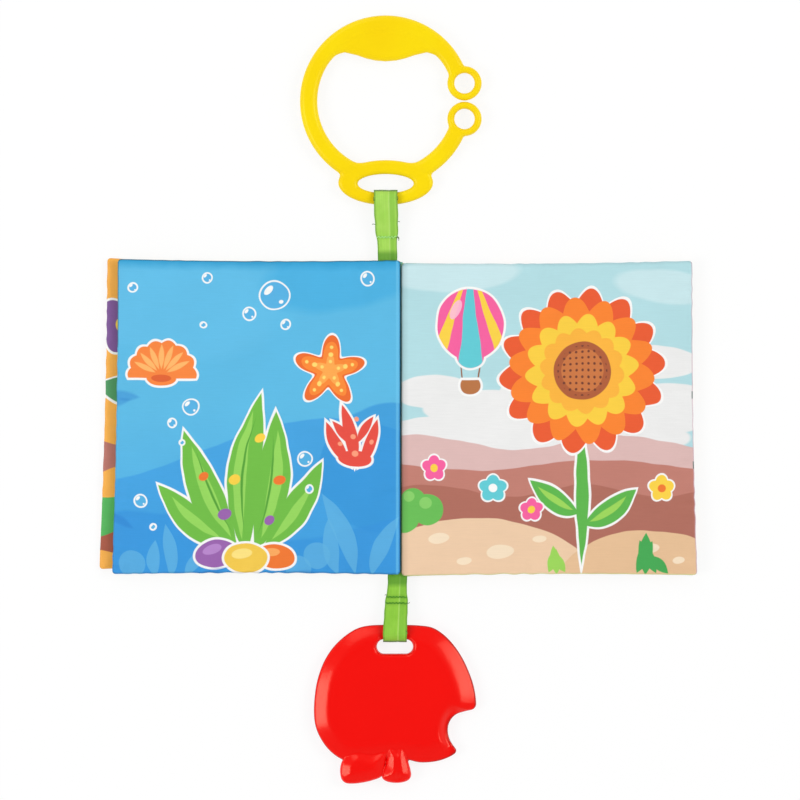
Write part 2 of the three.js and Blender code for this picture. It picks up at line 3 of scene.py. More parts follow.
import bmesh
import bpy
import numpy as np
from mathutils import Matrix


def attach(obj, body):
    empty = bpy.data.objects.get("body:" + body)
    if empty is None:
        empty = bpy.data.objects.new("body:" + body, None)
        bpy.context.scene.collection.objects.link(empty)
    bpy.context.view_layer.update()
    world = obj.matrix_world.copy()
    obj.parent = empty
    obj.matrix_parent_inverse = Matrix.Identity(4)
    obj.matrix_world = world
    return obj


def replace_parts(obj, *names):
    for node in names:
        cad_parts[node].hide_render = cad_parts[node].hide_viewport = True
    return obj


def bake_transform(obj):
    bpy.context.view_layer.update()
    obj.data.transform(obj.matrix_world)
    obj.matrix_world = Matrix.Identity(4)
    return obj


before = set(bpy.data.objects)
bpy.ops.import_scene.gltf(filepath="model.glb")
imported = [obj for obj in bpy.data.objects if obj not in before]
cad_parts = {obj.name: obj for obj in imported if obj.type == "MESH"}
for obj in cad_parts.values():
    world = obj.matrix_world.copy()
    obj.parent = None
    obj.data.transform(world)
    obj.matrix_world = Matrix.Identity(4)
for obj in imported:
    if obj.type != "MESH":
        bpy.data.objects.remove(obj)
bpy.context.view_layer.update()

PAGE_WIDTH = 137
LEAF_HEIGHT = 150
MM = 0.001  # the model is laid out in millimetres and built in metres
TURN = 2 * math.pi

scene = bpy.context.scene
scene.view_settings.view_transform = "Standard"


def linked(name, data):
    """A new object that is part of the scene."""
    thing = bpy.data.objects.new(name, data)
    scene.collection.objects.link(thing)
    return thing


def rgb(red, green, blue):
    def linear(value):
        share = value / 255
        return share / 12.92 if share <= 0.04045 else ((share + 0.055) / 1.055) ** 2.4
    return (linear(red), linear(green), linear(blue), 1)


class Nodes:
    """Makes the nodes of one tree."""

    def __init__(self, tree):
        self.tree = tree

    def put(self, value, socket):
        if isinstance(value, bpy.types.NodeSocket):
            self.tree.links.new(value, socket)
        elif socket.type == "VECTOR":
            socket.default_value = value[:3] if hasattr(value, "__len__") else (value,) * 3
        else:
            socket.default_value = value

    def node(self, kind, values, **settings):
        node = self.tree.nodes.new(kind)
        for name, setting in settings.items():
            setattr(node, name, setting)
        for value, socket in zip(values, node.inputs):
            self.put(value, socket)
        return node

    def math(self, operation, *values):
        return self.node("ShaderNodeMath", values, operation=operation).outputs[0]

    def minus(self, value, amount):
        return self.math("SUBTRACT", value, amount)

    def times(self, value, factor):
        return self.math("MULTIPLY", value, factor)

    def scaled(self, value, factor, offset):
        return self.math("MULTIPLY_ADD", value, factor, offset)

    def vector(self, operation, *values):
        node = self.node("ShaderNodeVectorMath", values, operation=operation)
        return node.outputs["Value" if operation in ("LENGTH", "DISTANCE", "DOT_PRODUCT") else "Vector"]

    def parts(self, point):
        return self.node("ShaderNodeSeparateXYZ", (point,)).outputs

    def mixed(self, mask, ground, colour):
        node = self.node("ShaderNodeMix", (), data_type="RGBA")
        for value, socket in ((mask, 0), (ground, 6), (colour, 7)):
            self.put(value, node.inputs[socket])
        return node.outputs[2]


# Camera, light and floor

CAMERA_HEIGHT = 2.4
CAMERA_OVER = (-0.476, 8.095)  # the point of the book at the picture's middle, in millimetres
FRAME_WIDTH = 0.38095  # of the book's plane that the picture takes in
BOOK_LEVEL = 0.006
SENSOR = 36

camera_data = bpy.data.cameras.new("camera")
camera_data.sensor_width = SENSOR
camera_data.lens = SENSOR * CAMERA_HEIGHT / FRAME_WIDTH
camera_data.clip_end = 20
scene.camera = linked("camera", camera_data)
scene.camera.location = (CAMERA_OVER[0] * MM, CAMERA_OVER[1] * MM, CAMERA_HEIGHT + BOOK_LEVEL)


def light(name, place, size, radiance):
    """A square lamp that shines on the origin."""
    data = bpy.data.lights.new(name, "AREA")
    data.shape = "SQUARE"
    data.size = size
    data.energy = radiance * math.pi * size * size
    lamp = linked(name, data)
    lamp.location = place
    x, y, z = place
    lamp.rotation_euler = (math.atan2(math.hypot(x, y), z), 0, math.atan2(-y, -x) - math.pi / 2)


light("lamp_left", (-1.55, -0.25, 1.7), 0.9, 6.3)
light("lamp_right", (1.55, 0.4, 1.65), 0.95, 5.6)
light("lamp_head", (-0.7, 1.5, 1.8), 1, 1.7)

# A studio that is white at the floor's horizon and dimmer overhead
OVERHEAD = 0.3
scene.world = bpy.data.worlds.new("studio")
scene.world.use_nodes = True
sky = Nodes(scene.world.node_tree)
direction = sky.node("ShaderNodeTexCoord", ()).outputs["Generated"]
upward = sky.node("ShaderNodeClamp", (sky.parts(direction)["Z"],)).outputs[0]
background = sky.tree.nodes["Background"]
sky.put((1, 1, 1, 1), background.inputs["Color"])
sky.put(sky.scaled(upward, OVERHEAD - 1, 1), background.inputs["Strength"])

# A floor that glows for every ray that shows it: from the camera, by reflection or through glass
FLOOR_SHADOW = 0.14  # how much of the floor's brightness its lighting makes
FLOOR_HALF = 6
FLOOR_LEVEL = -0.0002
floor_material = bpy.data.materials.new("floor")
floor_material.use_nodes = True
ground = Nodes(floor_material.node_tree)
ground.tree.nodes.remove(ground.tree.nodes["Principled BSDF"])
rays = ground.node("ShaderNodeLightPath", ()).outputs
seen = ground.math("MAXIMUM", rays["Is Camera Ray"], rays["Is Glossy Ray"])
seen = ground.math("MAXIMUM", seen, rays["Is Transmission Ray"])
diffuse = ground.node("ShaderNodeBsdfDiffuse", ((1, 1, 1, 1),)).outputs[0]
glow = ground.node("ShaderNodeEmission", ()).outputs[0]
surface = ground.node("ShaderNodeMixShader", (ground.times(seen, 1 - FLOOR_SHADOW), diffuse, glow)).outputs[0]
ground.put(surface, ground.tree.nodes["Material Output"].inputs["Surface"])
floor_mesh = bpy.data.meshes.new("floor")
floor_mesh.from_pydata(
    [(x * FLOOR_HALF, y * FLOOR_HALF, FLOOR_LEVEL) for x, y in ((-1, -1), (1, -1), (1, 1), (-1, 1))],
    [], [(0, 1, 2, 3)])
floor_mesh.materials.append(floor_material)
floor = linked("floor", floor_mesh)

# Materials


def socket_kind(value):
    if isinstance(value, bpy.types.NodeSocket):
        return {"VALUE": "Float", "VECTOR": "Vector", "RGBA": "Color"}[value.type]
    return {1: "Float", 3: "Vector", 4: "Color"}[len(value) if isinstance(value, tuple) else 1]


def grouped(shape):
    """Put what a function makes into a group of nodes that every use of it shares."""
    groups = []

    def use(p, *values):
        if not groups:
            tree = bpy.data.node_groups.new(shape.__name__, "ShaderNodeTree")
            for number, value in enumerate(values):
                tree.interface.new_socket(f"input_{number}", in_out="INPUT",
                                          socket_type=f"NodeSocket{socket_kind(value)}")
            given = tree.nodes.new("NodeGroupInput").outputs[:len(values)]
            made = shape(Nodes(tree), *given)
            tree.interface.new_socket("result", in_out="OUTPUT", socket_type=f"NodeSocket{socket_kind(made)}")
            tree.links.new(made, tree.nodes.new("NodeGroupOutput").inputs[0])
            groups.append(tree)
        return p.node("ShaderNodeGroup", values, node_tree=groups[0]).outputs[0]
    return use


# Distances in millimetres, below zero inside a shape
@grouped
def disc_shape(p, place, middle, radius):
    return p.minus(p.vector("DISTANCE", place, middle), radius)


@grouped
def oval_shape(p, place, across, across_start, up, up_start, size):
    a = p.minus(p.vector("DOT_PRODUCT", place, across), across_start)
    b = p.minus(p.vector("DOT_PRODUCT", place, up), up_start)
    return p.times(p.minus(p.scaled(a, a, p.times(b, b)), 1), size)


@grouped
def blade_shape(p, place, along, along_start, aside, aside_start, bend, width, grow):
    share = p.minus(p.vector("DOT_PRODUCT", place, along), along_start)
    apart = p.minus(p.vector("DOT_PRODUCT", place, aside), aside_start)
    square = p.times(share, share)
    apart = p.math("ABSOLUTE", p.minus(apart, p.times(square, bend)))
    return p.minus(apart, p.scaled(p.minus(share, square), width, grow))


def round_wave(p, across, up, x, y, pace, start):
    """A wave that runs round a point."""
    angle = p.math("ARCTAN2", p.minus(up, y), p.minus(across, x))
    return p.math("COSINE", p.scaled(angle, pace, start))


@grouped
def star_shape(p, place, across, up, x, y, middle, pace, start, swing, radius):
    wave = round_wave(p, across, up, x, y, pace, start)
    return p.minus(p.vector("DISTANCE", place, middle), p.scaled(wave, swing, radius))


@grouped
def petal_shape(p, place, across, up, x, y, middle, pace, start, swing, radius):
    wave = p.math("ABSOLUTE", round_wave(p, across, up, x, y, pace, start))
    return p.minus(p.vector("DISTANCE", place, middle), p.scaled(wave, swing, radius))


@grouped
def wave_shape(p, across, up, pace, start, swing, level):
    edge = p.math("SINE", p.scaled(across, pace, start))
    return p.minus(up, p.scaled(edge, swing, level))


@grouped
def laid(p, ground, colour, distance, slope, cover):
    mask = p.math("MINIMUM", p.scaled(distance, slope, 0.5), cover)
    return p.mixed(mask, ground, colour)


class Finish(Nodes):
    """A material: colours laid over each other by shapes."""

    def __init__(self, name, ground, wobble=0.9, by_uv=False):
        self.material = bpy.data.materials.new(name)
        self.material.use_nodes = True
        super().__init__(self.material.node_tree)
        self.shader = self.tree.nodes["Principled BSDF"]
        self.solid = self.place("UV" if by_uv else "Object")
        point = self.vector("MULTIPLY", self.solid, (1, 1, 0))
        if wobble:
            stray = self.vector("SUBTRACT", self.noise(0.06, detail=1, out="Color"), (0.5, 0.5, 0))
            reach = PRINT_STRAY * wobble
            point = self.vector("MULTIPLY_ADD", stray, (reach, reach, 0), point)
        self.at = self.plane(point)
        self.colour = ground

    def place(self, output):
        """Where a point lies on its object or in its map, in millimetres."""
        return self.vector("MULTIPLY", self.node("ShaderNodeTexCoord", ()).outputs[output], (1 / MM,) * 3)

    def noise(self, scale, stretch=None, detail=2, rough=0.5, out="Fac"):
        point = self.vector("MULTIPLY", self.solid, stretch) if stretch else self.solid
        node = self.node("ShaderNodeTexNoise", (point,))
        for name, value in (("Scale", scale), ("Detail", detail), ("Roughness", rough)):
            node.inputs[name].default_value = value
        return node.outputs[out]

    def plane(self, point):
        """A place in the picture, as a vector and as its two coordinates."""
        return (point, *self.parts(point)[:2])

    def seams(self):
        """Distances from a leaf's gutter, outer, foot and head seams, from its map."""
        u, v = self.parts(self.place("UV"))[:2]
        return u, self.minus(PAGE_WIDTH, u), v, self.minus(LEAF_HEIGHT, v)

    # painted shade: the colour grows darker towards a seam, by amount at the seam, fading out over width
    def paint_shade_near(self, distance, width, amount):
        self.scale_colour(self.math("MINIMUM", self.scaled(distance, amount / width, 1 - amount), 1))

    def band(self, value, middle, half):
        return self.minus(self.math("ABSOLUTE", self.minus(value, middle)), half)

    def disc(self, x, y, radius, at=None):
        return disc_shape(self, (at or self.at)[0], (x, y, 0), radius)

    def ray(self, x, y, turn, size):
        """A direction in units of size, and where x, y lies along it."""
        across, up = math.cos(math.radians(turn)) / size, math.sin(math.radians(turn)) / size
        return (across, up, 0), x * across + y * up

    def oval(self, x, y, wide, high, turn=0, grow=0):
        wide, high = wide + grow, high + grow
        return oval_shape(self, self.at[0], *self.ray(x, y, turn, wide), *self.ray(x, y, turn + 90, high),
                          math.sqrt(wide * high) / 2)

    def blade(self, x, y, length, half, turn=0, bend=0, grow=0, at=None):
        """A leaf with two points, from its root at x, y, bent sideways."""
        return blade_shape(self, (at or self.at)[0], *self.ray(x, y, turn, length),
                           *self.ray(x, y, turn + 90, 1), bend, 4 * half, grow)

    def blades(self, rows, grow):
        return self.join(*(self.blade(*row, grow=grow) for row in rows))

    def star(self, x, y, radius, points, depth, turn=0, grow=0, petals=False, at=None):
        pace = points / 2 if petals else points
        shape = petal_shape if petals else star_shape
        return shape(self, *(at or self.at), x, y, (x, y, 0), pace, -math.radians(turn) * pace,
                     depth * radius, radius + grow)

    def below(self, level, swing=0, pitch=60, shift=0):
        return wave_shape(self, *self.at[1:], TURN / pitch, shift, swing, level)

    def join(self, *distances):
        total = distances[0]
        for distance in distances[1:]:
            total = self.math("MINIMUM", total, distance)
        return total

    def common(self, one, other):
        return self.math("MAXIMUM", one, other)

    def lay(self, distance, colour, soft=0.35, cover=1):
        self.colour = laid(self, self.colour, colour, distance, -1 / soft, cover)

    def all(self, shape, *rows, **options):
        """Lay one kind of shape several times: each row is its numbers and its colour."""
        for *numbers, colour in rows:
            self.lay(shape(*numbers), colour, **options)

    def alike(self, shape, colour, *rows, **options):
        """Lay one kind of shape several times in one colour."""
        for numbers in rows:
            self.lay(shape(*numbers), colour, **options)

    def outlined(self, shape, colour, edge=1.1):
        """Lay a shape with a white line round it; shape takes how far it grows."""
        self.lay(shape(edge), WHITE)
        self.lay(shape(0), colour)

    def blossom(self, x, y, size, points, depth, turn, colour, heart, heart_share, edge=1.1):
        self.outlined(lambda grow: self.star(x, y, size, points, depth, turn, grow, petals=True), colour,
                      edge)
        self.lay(self.disc(x, y, size * heart_share), heart)

    def blend(self, mask, colour):
        self.colour = self.mixed(mask, self.colour, colour)

    def shade(self, value, low, high):
        """Scale the colour between two brightnesses as a value goes from 0 to 1."""
        self.scale_colour(self.scaled(value, high - low, low))

    def scale_colour(self, factor):
        node = self.node("ShaderNodeVectorMath", (self.colour,), operation="SCALE")
        self.put(factor, node.inputs["Scale"])
        self.colour = node.outputs[0]

    def bump(self, height, depth):
        node = self.node("ShaderNodeBump", ())
        for name, value in (("Strength", 1), ("Distance", depth * MM), ("Height", height)):
            self.put(value, node.inputs[name])
        self.put(node.outputs[0], self.shader.inputs["Normal"])

    def roughen(self, value, factor, offset):
        self.put(self.scaled(value, factor, offset), self.shader.inputs["Roughness"])

    def done(self, **uniform):
        self.put(self.colour, self.shader.inputs["Base Color"])
        for name, value in uniform.items():
            self.shader.inputs[name.replace("_", " ").title().replace("Ior", "IOR")].default_value = value
        return self.material

    def weave(self):
        """Plain-woven cloth: dye that takes unevenly, slubs, crossing yarns, and a soft gloss."""
        self.shade(self.noise(0.035, detail=3), 0.95, 1.05)
        slub = self.noise(1, (0.12, 2.1, 1), detail=1)
        self.shade(slub, 0.965, 1.035)
        warp, weft = (self.math("SINE", self.times(value, TURN / YARN_PITCH))
                      for value in self.parts(self.solid)[:2])
        yarns = self.scaled(warp, weft, 1)
        self.shade(yarns, 0.985, 1.0)
        self.bump(self.scaled(slub, 1.5, yarns), YARN_DEPTH)
        self.roughen(self.noise(0.11), 0.16, 0.5)
        return self.done(sheen_weight=0.12, sheen_roughness=0.4, specular_ior_level=0.32)


YARN_PITCH = 0.42
YARN_DEPTH = 0.02
PRINT_STRAY = 2.6  # how wide a band a printed edge strays in, at a wobble of 1

WHITE = rgb(250, 250, 248)
SUN = rgb(252, 212, 68)
PINK = rgb(248, 96, 160)
TURQUOISE = rgb(96, 204, 214)
LEAF_GREEN = rgb(92, 182, 74)
LIGHT_GREEN = rgb(156, 214, 88)
ORANGE = rgb(242, 120, 42)
VIOLET = rgb(154, 98, 174)


def under_water():
    p = Finish("blue_page_print", rgb(90, 187, 230))
    p.blend(p.scaled(p.at[2], -1 / 110, 0.05), rgb(56, 160, 226))
    p.lay(p.oval(-112, 58, 50, 26, -14), rgb(98, 192, 234), soft=14, cover=0.55)
    p.lay(p.oval(-20, 72, 44, 18, 16), rgb(62, 174, 226), soft=9, cover=0.7)
    p.lay(p.below(-16, 15, 236, 2.5), rgb(54, 156, 225), soft=1, cover=0.75)
    p.lay(p.oval(-6, -24, 34, 30, 24), rgb(42, 148, 219), soft=1.5, cover=0.7)
    p.lay(p.below(-52, 7, 150, 0.7), rgb(46, 148, 222), soft=2, cover=0.75)
    pale = rgb(94, 180, 228)
    p.alike(p.blade, pale, (-22, -74, 40, 4.4, 100, 9), (-14, -75, 30, 4, 76, -6),
            (-30, -75, 26, 3.8, 112, -6), (-110, -76, 24, 3.4, 82, 6), (-117, -76, 17, 3, 106, -5),
            (-103, -76, 19, 3, 62, -4), cover=0.75)
    p.alike(p.disc, pale, (-40, -66, 6.2), (-49, -72, 6), (-128, -70, 6.4), cover=0.7)

    # a broad green water plant among stones
    fronds = ((-74, -66, 76, 8.2, 97, -17), (-78, -64, 62, 7.8, 123, -10), (-70, -64, 66, 8, 68, 15),
              (-82, -62, 44, 6.8, 150, -9), (-66, -62, 48, 6.8, 42, 11))
    p.outlined(lambda grow: p.blades(fronds, grow), rgb(112, 190, 66))
    p.alike(p.blade, rgb(150, 216, 92), (-76, -58, 60, 3.2, 97, -13), (-81, -57, 46, 3, 123, -8),
            (-67, -57, 50, 3, 68, 11), (-86, -58, 30, 2.2, 150, -6), (-62, -58, 32, 2.2, 42, 7))
    p.alike(p.blade, rgb(84, 162, 52), (-75, -54, 52, 0.6, 97, -12), (-81, -54, 40, 0.55, 123, -7),
            (-68, -54, 44, 0.55, 68, 10))
    p.all(p.oval, (-79, -30, 3, 2.4, 30, SUN), (-67, -10, 2.6, 2, 30, SUN), (-94, -28, 2.5, 2, 30, ORANGE),
          (-58, -30, 2.8, 2.3, 30, ORANGE), (-84, -46, 3.4, 2.8, 30, VIOLET),
          (-63, -49, 2.6, 2.1, 30, VIOLET))
    for x, y, wide, high, turn, colour, light_spot in (
            (-88, -65, 10, 6.4, 8, VIOLET, rgb(184, 134, 204)),
            (-60, -66, 9.4, 5.8, -8, ORANGE, rgb(252, 170, 92)),
            (-74, -67, 10.4, 7, 0, rgb(244, 202, 74), rgb(254, 228, 130))):
        p.outlined(lambda grow: p.oval(x, y, wide, high, turn, grow), colour)
        p.lay(p.oval(x - 2, y + 2, wide * 0.46, high * 0.34, turn + 8), light_spot)

    # a star
    star_x, star_y, star_turn = -34, 22, 14
    p.outlined(lambda grow: p.star(star_x, star_y, 12.4, 5, 0.38, star_turn, grow), rgb(240, 108, 38))
    for size, depth, colour in ((10.2, 0.36, rgb(252, 138, 48)), (5.6, 0.34, rgb(255, 170, 76))):
        p.lay(p.star(star_x, star_y, size, 5, depth, star_turn), colour)
    for arm in range(5):
        lean = math.radians(star_turn + 72 * arm)
        for reach, size in ((4.2, 0.8), (7.6, 1.1), (11.2, 0.8)):
            p.lay(p.disc(star_x + reach * math.cos(lean), star_y + reach * math.sin(lean), size),
                  rgb(255, 220, 112))

    # a shell
    shell_x, shell_y, shell_foot = -114, 20, 18.4

    def shell(grow):
        fan = p.star(shell_x, shell_y, 15.2, 14, 0.09, 0, grow, petals=True)
        fan = p.common(fan, p.minus(shell_foot - grow, p.at[2]))
        return p.join(fan, p.oval(shell_x, shell_foot, 7, 3.2, 0, grow))

    p.outlined(shell, rgb(250, 134, 58))
    for turn in (26, 47, 68.5, 90, 111.5, 133, 154):
        lean = math.radians(turn)
        p.lay(p.blade(shell_x + 3 * math.cos(lean), shell_y + 3 * math.sin(lean), 11.6, 1.25, turn),
              rgb(255, 184, 104))
    p.lay(p.oval(shell_x, 18.6, 4.6, 1.7), rgb(228, 98, 44))

    # coral
    limbs = ((-22, -24, 30, 3.2, 94, 4), (-24, -24, 24, 3, 128, -4), (-20, -24, 24, 3, 60, 4),
             (-23, -14, 15, 2.2, 122, 2), (-21, -12, 14, 2.1, 66, -2))
    p.outlined(lambda grow: p.join(p.blades(limbs, grow), p.oval(-22, -20, 8, 4, 0, grow)), rgb(234, 76, 62))
    p.alike(p.disc, rgb(255, 160, 124), (-23, -9, 1.2), (-21.4, -1, 1.1), (-29, -13, 1.1), (-14, -12, 1.1),
            (-22, -17.5, 1.5))

    # bubbles
    for x, y, size in ((-60, 58, 7.2), (-72, 49, 3.4), (-55, 44, 2.5), (-100, 5, 4.2), (-109, -3, 2.4),
                       (-104, -12, 1.6), (-92, 66, 2.8), (-124, -40, 3.2), (-16, 66, 3.6), (-46, -20, 3.8),
                       (-44, -34, 2.2), (-128, 62, 2.4), (-94, 44, 1.8), (-118, -52, 1.7)):
        p.all(p.disc, (x, y, size, WHITE), (x, y, size - 0.75, rgb(84, 178, 228)))
        p.lay(p.oval(x - size * 0.38, y + size * 0.36, size * 0.2, size * 0.36, -42), WHITE)
        p.lay(p.disc(x + size * 0.42, y - size * 0.42, size * 0.13), WHITE)

    # creases and seams: painted shade, and one painted highlight
    # painted shade: short darker blue marks at the edges, standing in for the shade in small creases
    p.alike(p.blade, rgb(28, 122, 204), (-138, 10.6, 12, 1.3, -4), (-140, -46, 12, 1.1, -28),
            (-139, 6, 9, 0.8, 14), (-60, -76, 16, 0.9, 8), (-98, -76, 13, 0.8, 16), soft=3, cover=0.45)
    gutter, outer, foot, head = p.seams()
    stray = p.scaled(p.noise(0.11), 2.6, -3.9)
    # painted shade: a darker blue band with a wandering edge along the head, where the hem slopes away, then
    # a dark line at the very edge
    p.lay(p.math("ADD", head, stray), rgb(34, 156, 208), soft=5, cover=0.9)
    p.lay(p.minus(head, 0.4), rgb(20, 92, 116), soft=0.6)
    # painted highlight: a lighter line along the gutter edge; painted shade: a dark line at the edge itself
    p.lay(p.band(gutter, 1.5, 0.4), rgb(112, 202, 242), soft=0.8, cover=0.5)
    p.lay(p.minus(gutter, 0.35), rgb(24, 92, 140), soft=0.6)
    # painted shade along the foot and outer seams, with a dark line along the outer edge near the head
    p.paint_shade_near(foot, 1.1, 0.3)
    p.lay(p.common(p.minus(outer, 0.3), p.minus(head, 42)), rgb(34, 104, 134), soft=0.6, cover=0.8)
    p.paint_shade_near(outer, 0.8, 0.25)
    return p.weave()


def hills():
    p = Finish("aqua_page_print", rgb(180, 222, 228))
    p.alike(p.oval, rgb(206, 234, 238), (26, 68, 30, 8, 4), (126, 62, 24, 8, -6), soft=3, cover=0.8)
    p.alike(p.oval, rgb(238, 238, 237), (40, 4, 30, 9), (66, 9, 20, 12), (16, 12, 19, 8), (118, 26, 26, 8),
            (104, 21, 16, 7), (128, 4, 24, 12), (58, -10, 80, 12), soft=0.8)
    p.all(p.below, (-12, 3.4, 96, 1.1, rgb(222, 186, 182)), (-23, 2.4, 120, 2.9, rgb(194, 126, 112)),
          (-35, 3, 74, 0.4, rgb(176, 108, 92)))
    p.all(p.oval, (36, -88, 62, 40, rgb(239, 204, 169)), (118, -84, 46, 30, rgb(232, 192, 150)))
    p.alike(p.oval, rgb(248, 226, 196), (18, -58, 5, 2.6, 6), (47, -64, 6.4, 3.2, 6), (30, -68, 3.6, 1.8, 6),
            (66, -58, 3.4, 1.7, 6), (118, -62, 4.6, 2.2, 6), (132, -68, 3, 1.6, 6))
    p.alike(p.disc, rgb(104, 190, 84), (6, -40, 6), (13, -44, 7.5), (2, -48, 7))
    p.alike(p.disc, rgb(136, 208, 104), (4, -38, 2.6), (12, -41, 3))
    p.alike(p.blade, rgb(66, 170, 82), (112, -74, 17, 3, 64), (116, -75, 20, 3.2, 88), (121, -74, 17, 3, 116),
            (127, -74, 13, 2.6, 138))
    p.alike(p.blade, LIGHT_GREEN, (70, -74, 12, 2.4, 70), (74, -75, 14, 2.5, 96), (78, -74, 12, 2.4, 122))

    # a sunflower
    stalk = ((86, -70, 66, 3, 88, 3), (87, -52, 30, 5.6, 24, 6), (85, -46, 28, 5.4, 158, -6))
    p.outlined(lambda grow: p.blades(stalk, grow), LEAF_GREEN)
    p.alike(p.blade, LIGHT_GREEN, (90, -50, 21, 1.7, 25, 4), (82, -44, 20, 1.7, 158, -4))
    heart = (86, 22)

    def petals(radius, depth, turn, grow=0):
        return p.star(*heart, radius, 14, depth, turn, grow, petals=True)

    p.outlined(lambda grow: petals(31, 0.28, 6, grow), rgb(236, 90, 42), 1.3)
    p.all(petals, (28.2, 0.24, 18.8, rgb(252, 132, 40)), (22.5, 0.2, 6, rgb(252, 208, 62)),
          (18.2, 0.12, 18.8, rgb(253, 182, 58)))
    p.all(p.disc, (*heart, 14, rgb(176, 92, 52)), (*heart, 10.4, rgb(204, 118, 62)))
    seeds = p.vector("WRAP", p.vector("SUBTRACT", p.at[0], (*heart, 0)), (1.5, 1.5, 1), (-1.5, -1.5, -1))
    p.lay(p.common(p.disc(0, 0, 0.62, (seeds,)), p.disc(*heart, 12.2)), rgb(112, 56, 40))

    # a striped balloon
    middle_x, middle_y = 33, 44

    def envelope(grow):
        return p.join(p.oval(middle_x, middle_y, 15.6, 17.2, 0, grow), p.oval(middle_x, 29, 6.6, 6, 0, grow))

    for x, lean in ((29.6, 97), (36.4, 83)):
        p.lay(p.common(p.blade(x, 14, 13, 0.36, lean), p.below(26)), rgb(150, 96, 60), soft=0.3)
    p.outlined(lambda grow: p.common(p.oval(middle_x, 15.2, 4.9, 4.4, 0, grow), p.below(17.6 + grow)),
               rgb(186, 116, 66))
    p.outlined(envelope, PINK)
    narrowing = 0.035
    tall = p.scaled(p.at[2], -narrowing, 1 + narrowing * middle_y)
    apart = p.math("DIVIDE", p.math("ABSOLUTE", p.minus(p.at[1], middle_x)), tall)
    for middle, half, colour in ((10, 2.2, SUN), (0, 3.6, TURQUOISE)):
        p.lay(p.common(p.band(apart, middle, half), envelope(0)), colour)
    p.lay(p.oval(26.5, 51, 2.2, 5, -24), rgb(255, 190, 214), cover=0.9)

    # small blossoms on the hill
    for x, y, size, colour, heart_colour in ((16, -24, 4.4, PINK, SUN), (44, -34, 5, TURQUOISE, WHITE),
                                             (62, -44, 4, PINK, SUN), (124, -34, 4.6, SUN, ORANGE)):
        p.blossom(x, y, size, 5, 0.34, 18, colour, heart_colour, 0.42, 0.8)

    # seams: lines of the other cloth at the outer and foot edges, dark marks at the outer edge, and painted
    # shade along the gutter and head
    gutter, outer, foot, head = p.seams()
    p.lay(p.minus(outer, 0.35), rgb(212, 178, 190), soft=0.5, cover=0.8)
    p.lay(p.minus(foot, 0.4), rgb(214, 218, 150), soft=0.5, cover=0.8)
    for middle in (86, 52.5):
        p.lay(p.common(p.minus(outer, 0.45), p.band(foot, middle, 1.7)), rgb(52, 92, 84), soft=0.5)
    # painted shade: darker towards the gutter and the head seam
    for seam, width, amount in ((gutter, 3.4, 0.22), (gutter, 1.1, 0.4), (head, 1.7, 0.16)):
        p.paint_shade_near(seam, width, amount)
    return p.weave()


def orchard():
    """The front cover's inner face, of which a strip shows at the left."""
    p = Finish("front_cover_inner_print", rgb(250, 178, 76))
    p.all(p.below, (-12, 2.4, 50, 2, rgb(186, 116, 104)), (-25, 3, 46, 0.2, rgb(250, 178, 76)),
          (-36, 2, 40, 1.6, rgb(84, 182, 92)), (-55, 2, 34, 0.3, rgb(170, 88, 66)),
          (-64, 1.5, 38, 1.3, rgb(250, 178, 76)))
    plum, rose = rgb(126, 86, 150), rgb(236, 96, 70)
    for x, y, size, turn, colour in ((-132, 44, 11, 10, plum), (-96, 52, 9, 0, rose),
                                     (-60, 40, 12, 20, WHITE), (-28, 54, 9, 8, plum),
                                     (-84, 8, 8, 12, WHITE), (-36, 6, 9, 4, rose)):
        p.blossom(x, y, size, 6, 0.24, turn, colour, SUN, 0.36)
    for x, y, turn in ((-120, 8, 152), (-110, 20, 40), (-70, 22, 150), (-48, 22, 30), (-14, 20, 140)):
        p.outlined(lambda grow: p.blade(x, y, 25, 6.4, turn, 5, grow), rgb(78, 152, 96))
    return p.weave()


def repeated(name, ground, leaf_colour, flower_colour, heart_colour, cell=34):
    """Leaves, dots and blossoms in rows, for the faces that lie underneath."""
    p = Finish(name, ground)
    half = cell / 2
    at = p.plane(p.vector("WRAP", p.at[0], (half, half, 1), (-half, -half, -1)))
    for turn, bend in ((24, 3), (148, -3), (268, 3)):
        p.lay(p.blade(0, 0, cell * 0.4, cell * 0.07, turn, bend, at=at), leaf_colour)
    p.lay(p.star(0, 0, cell * 0.13, 6, 0.3, petals=True, at=at), flower_colour)
    for x, y, size in ((0, 0, 0.07), (-0.38, -0.3, 0.035), (0.4, -0.36, 0.035), (-0.3, 0.4, 0.035),
                       (0.42, 0.34, 0.035)):
        p.lay(p.disc(x * cell, y * cell, cell * size, at), heart_colour)
    return p.weave()


def plain_cloth(name, colour, by_uv=False):
    return Finish(name, colour, wobble=0, by_uv=by_uv).weave()


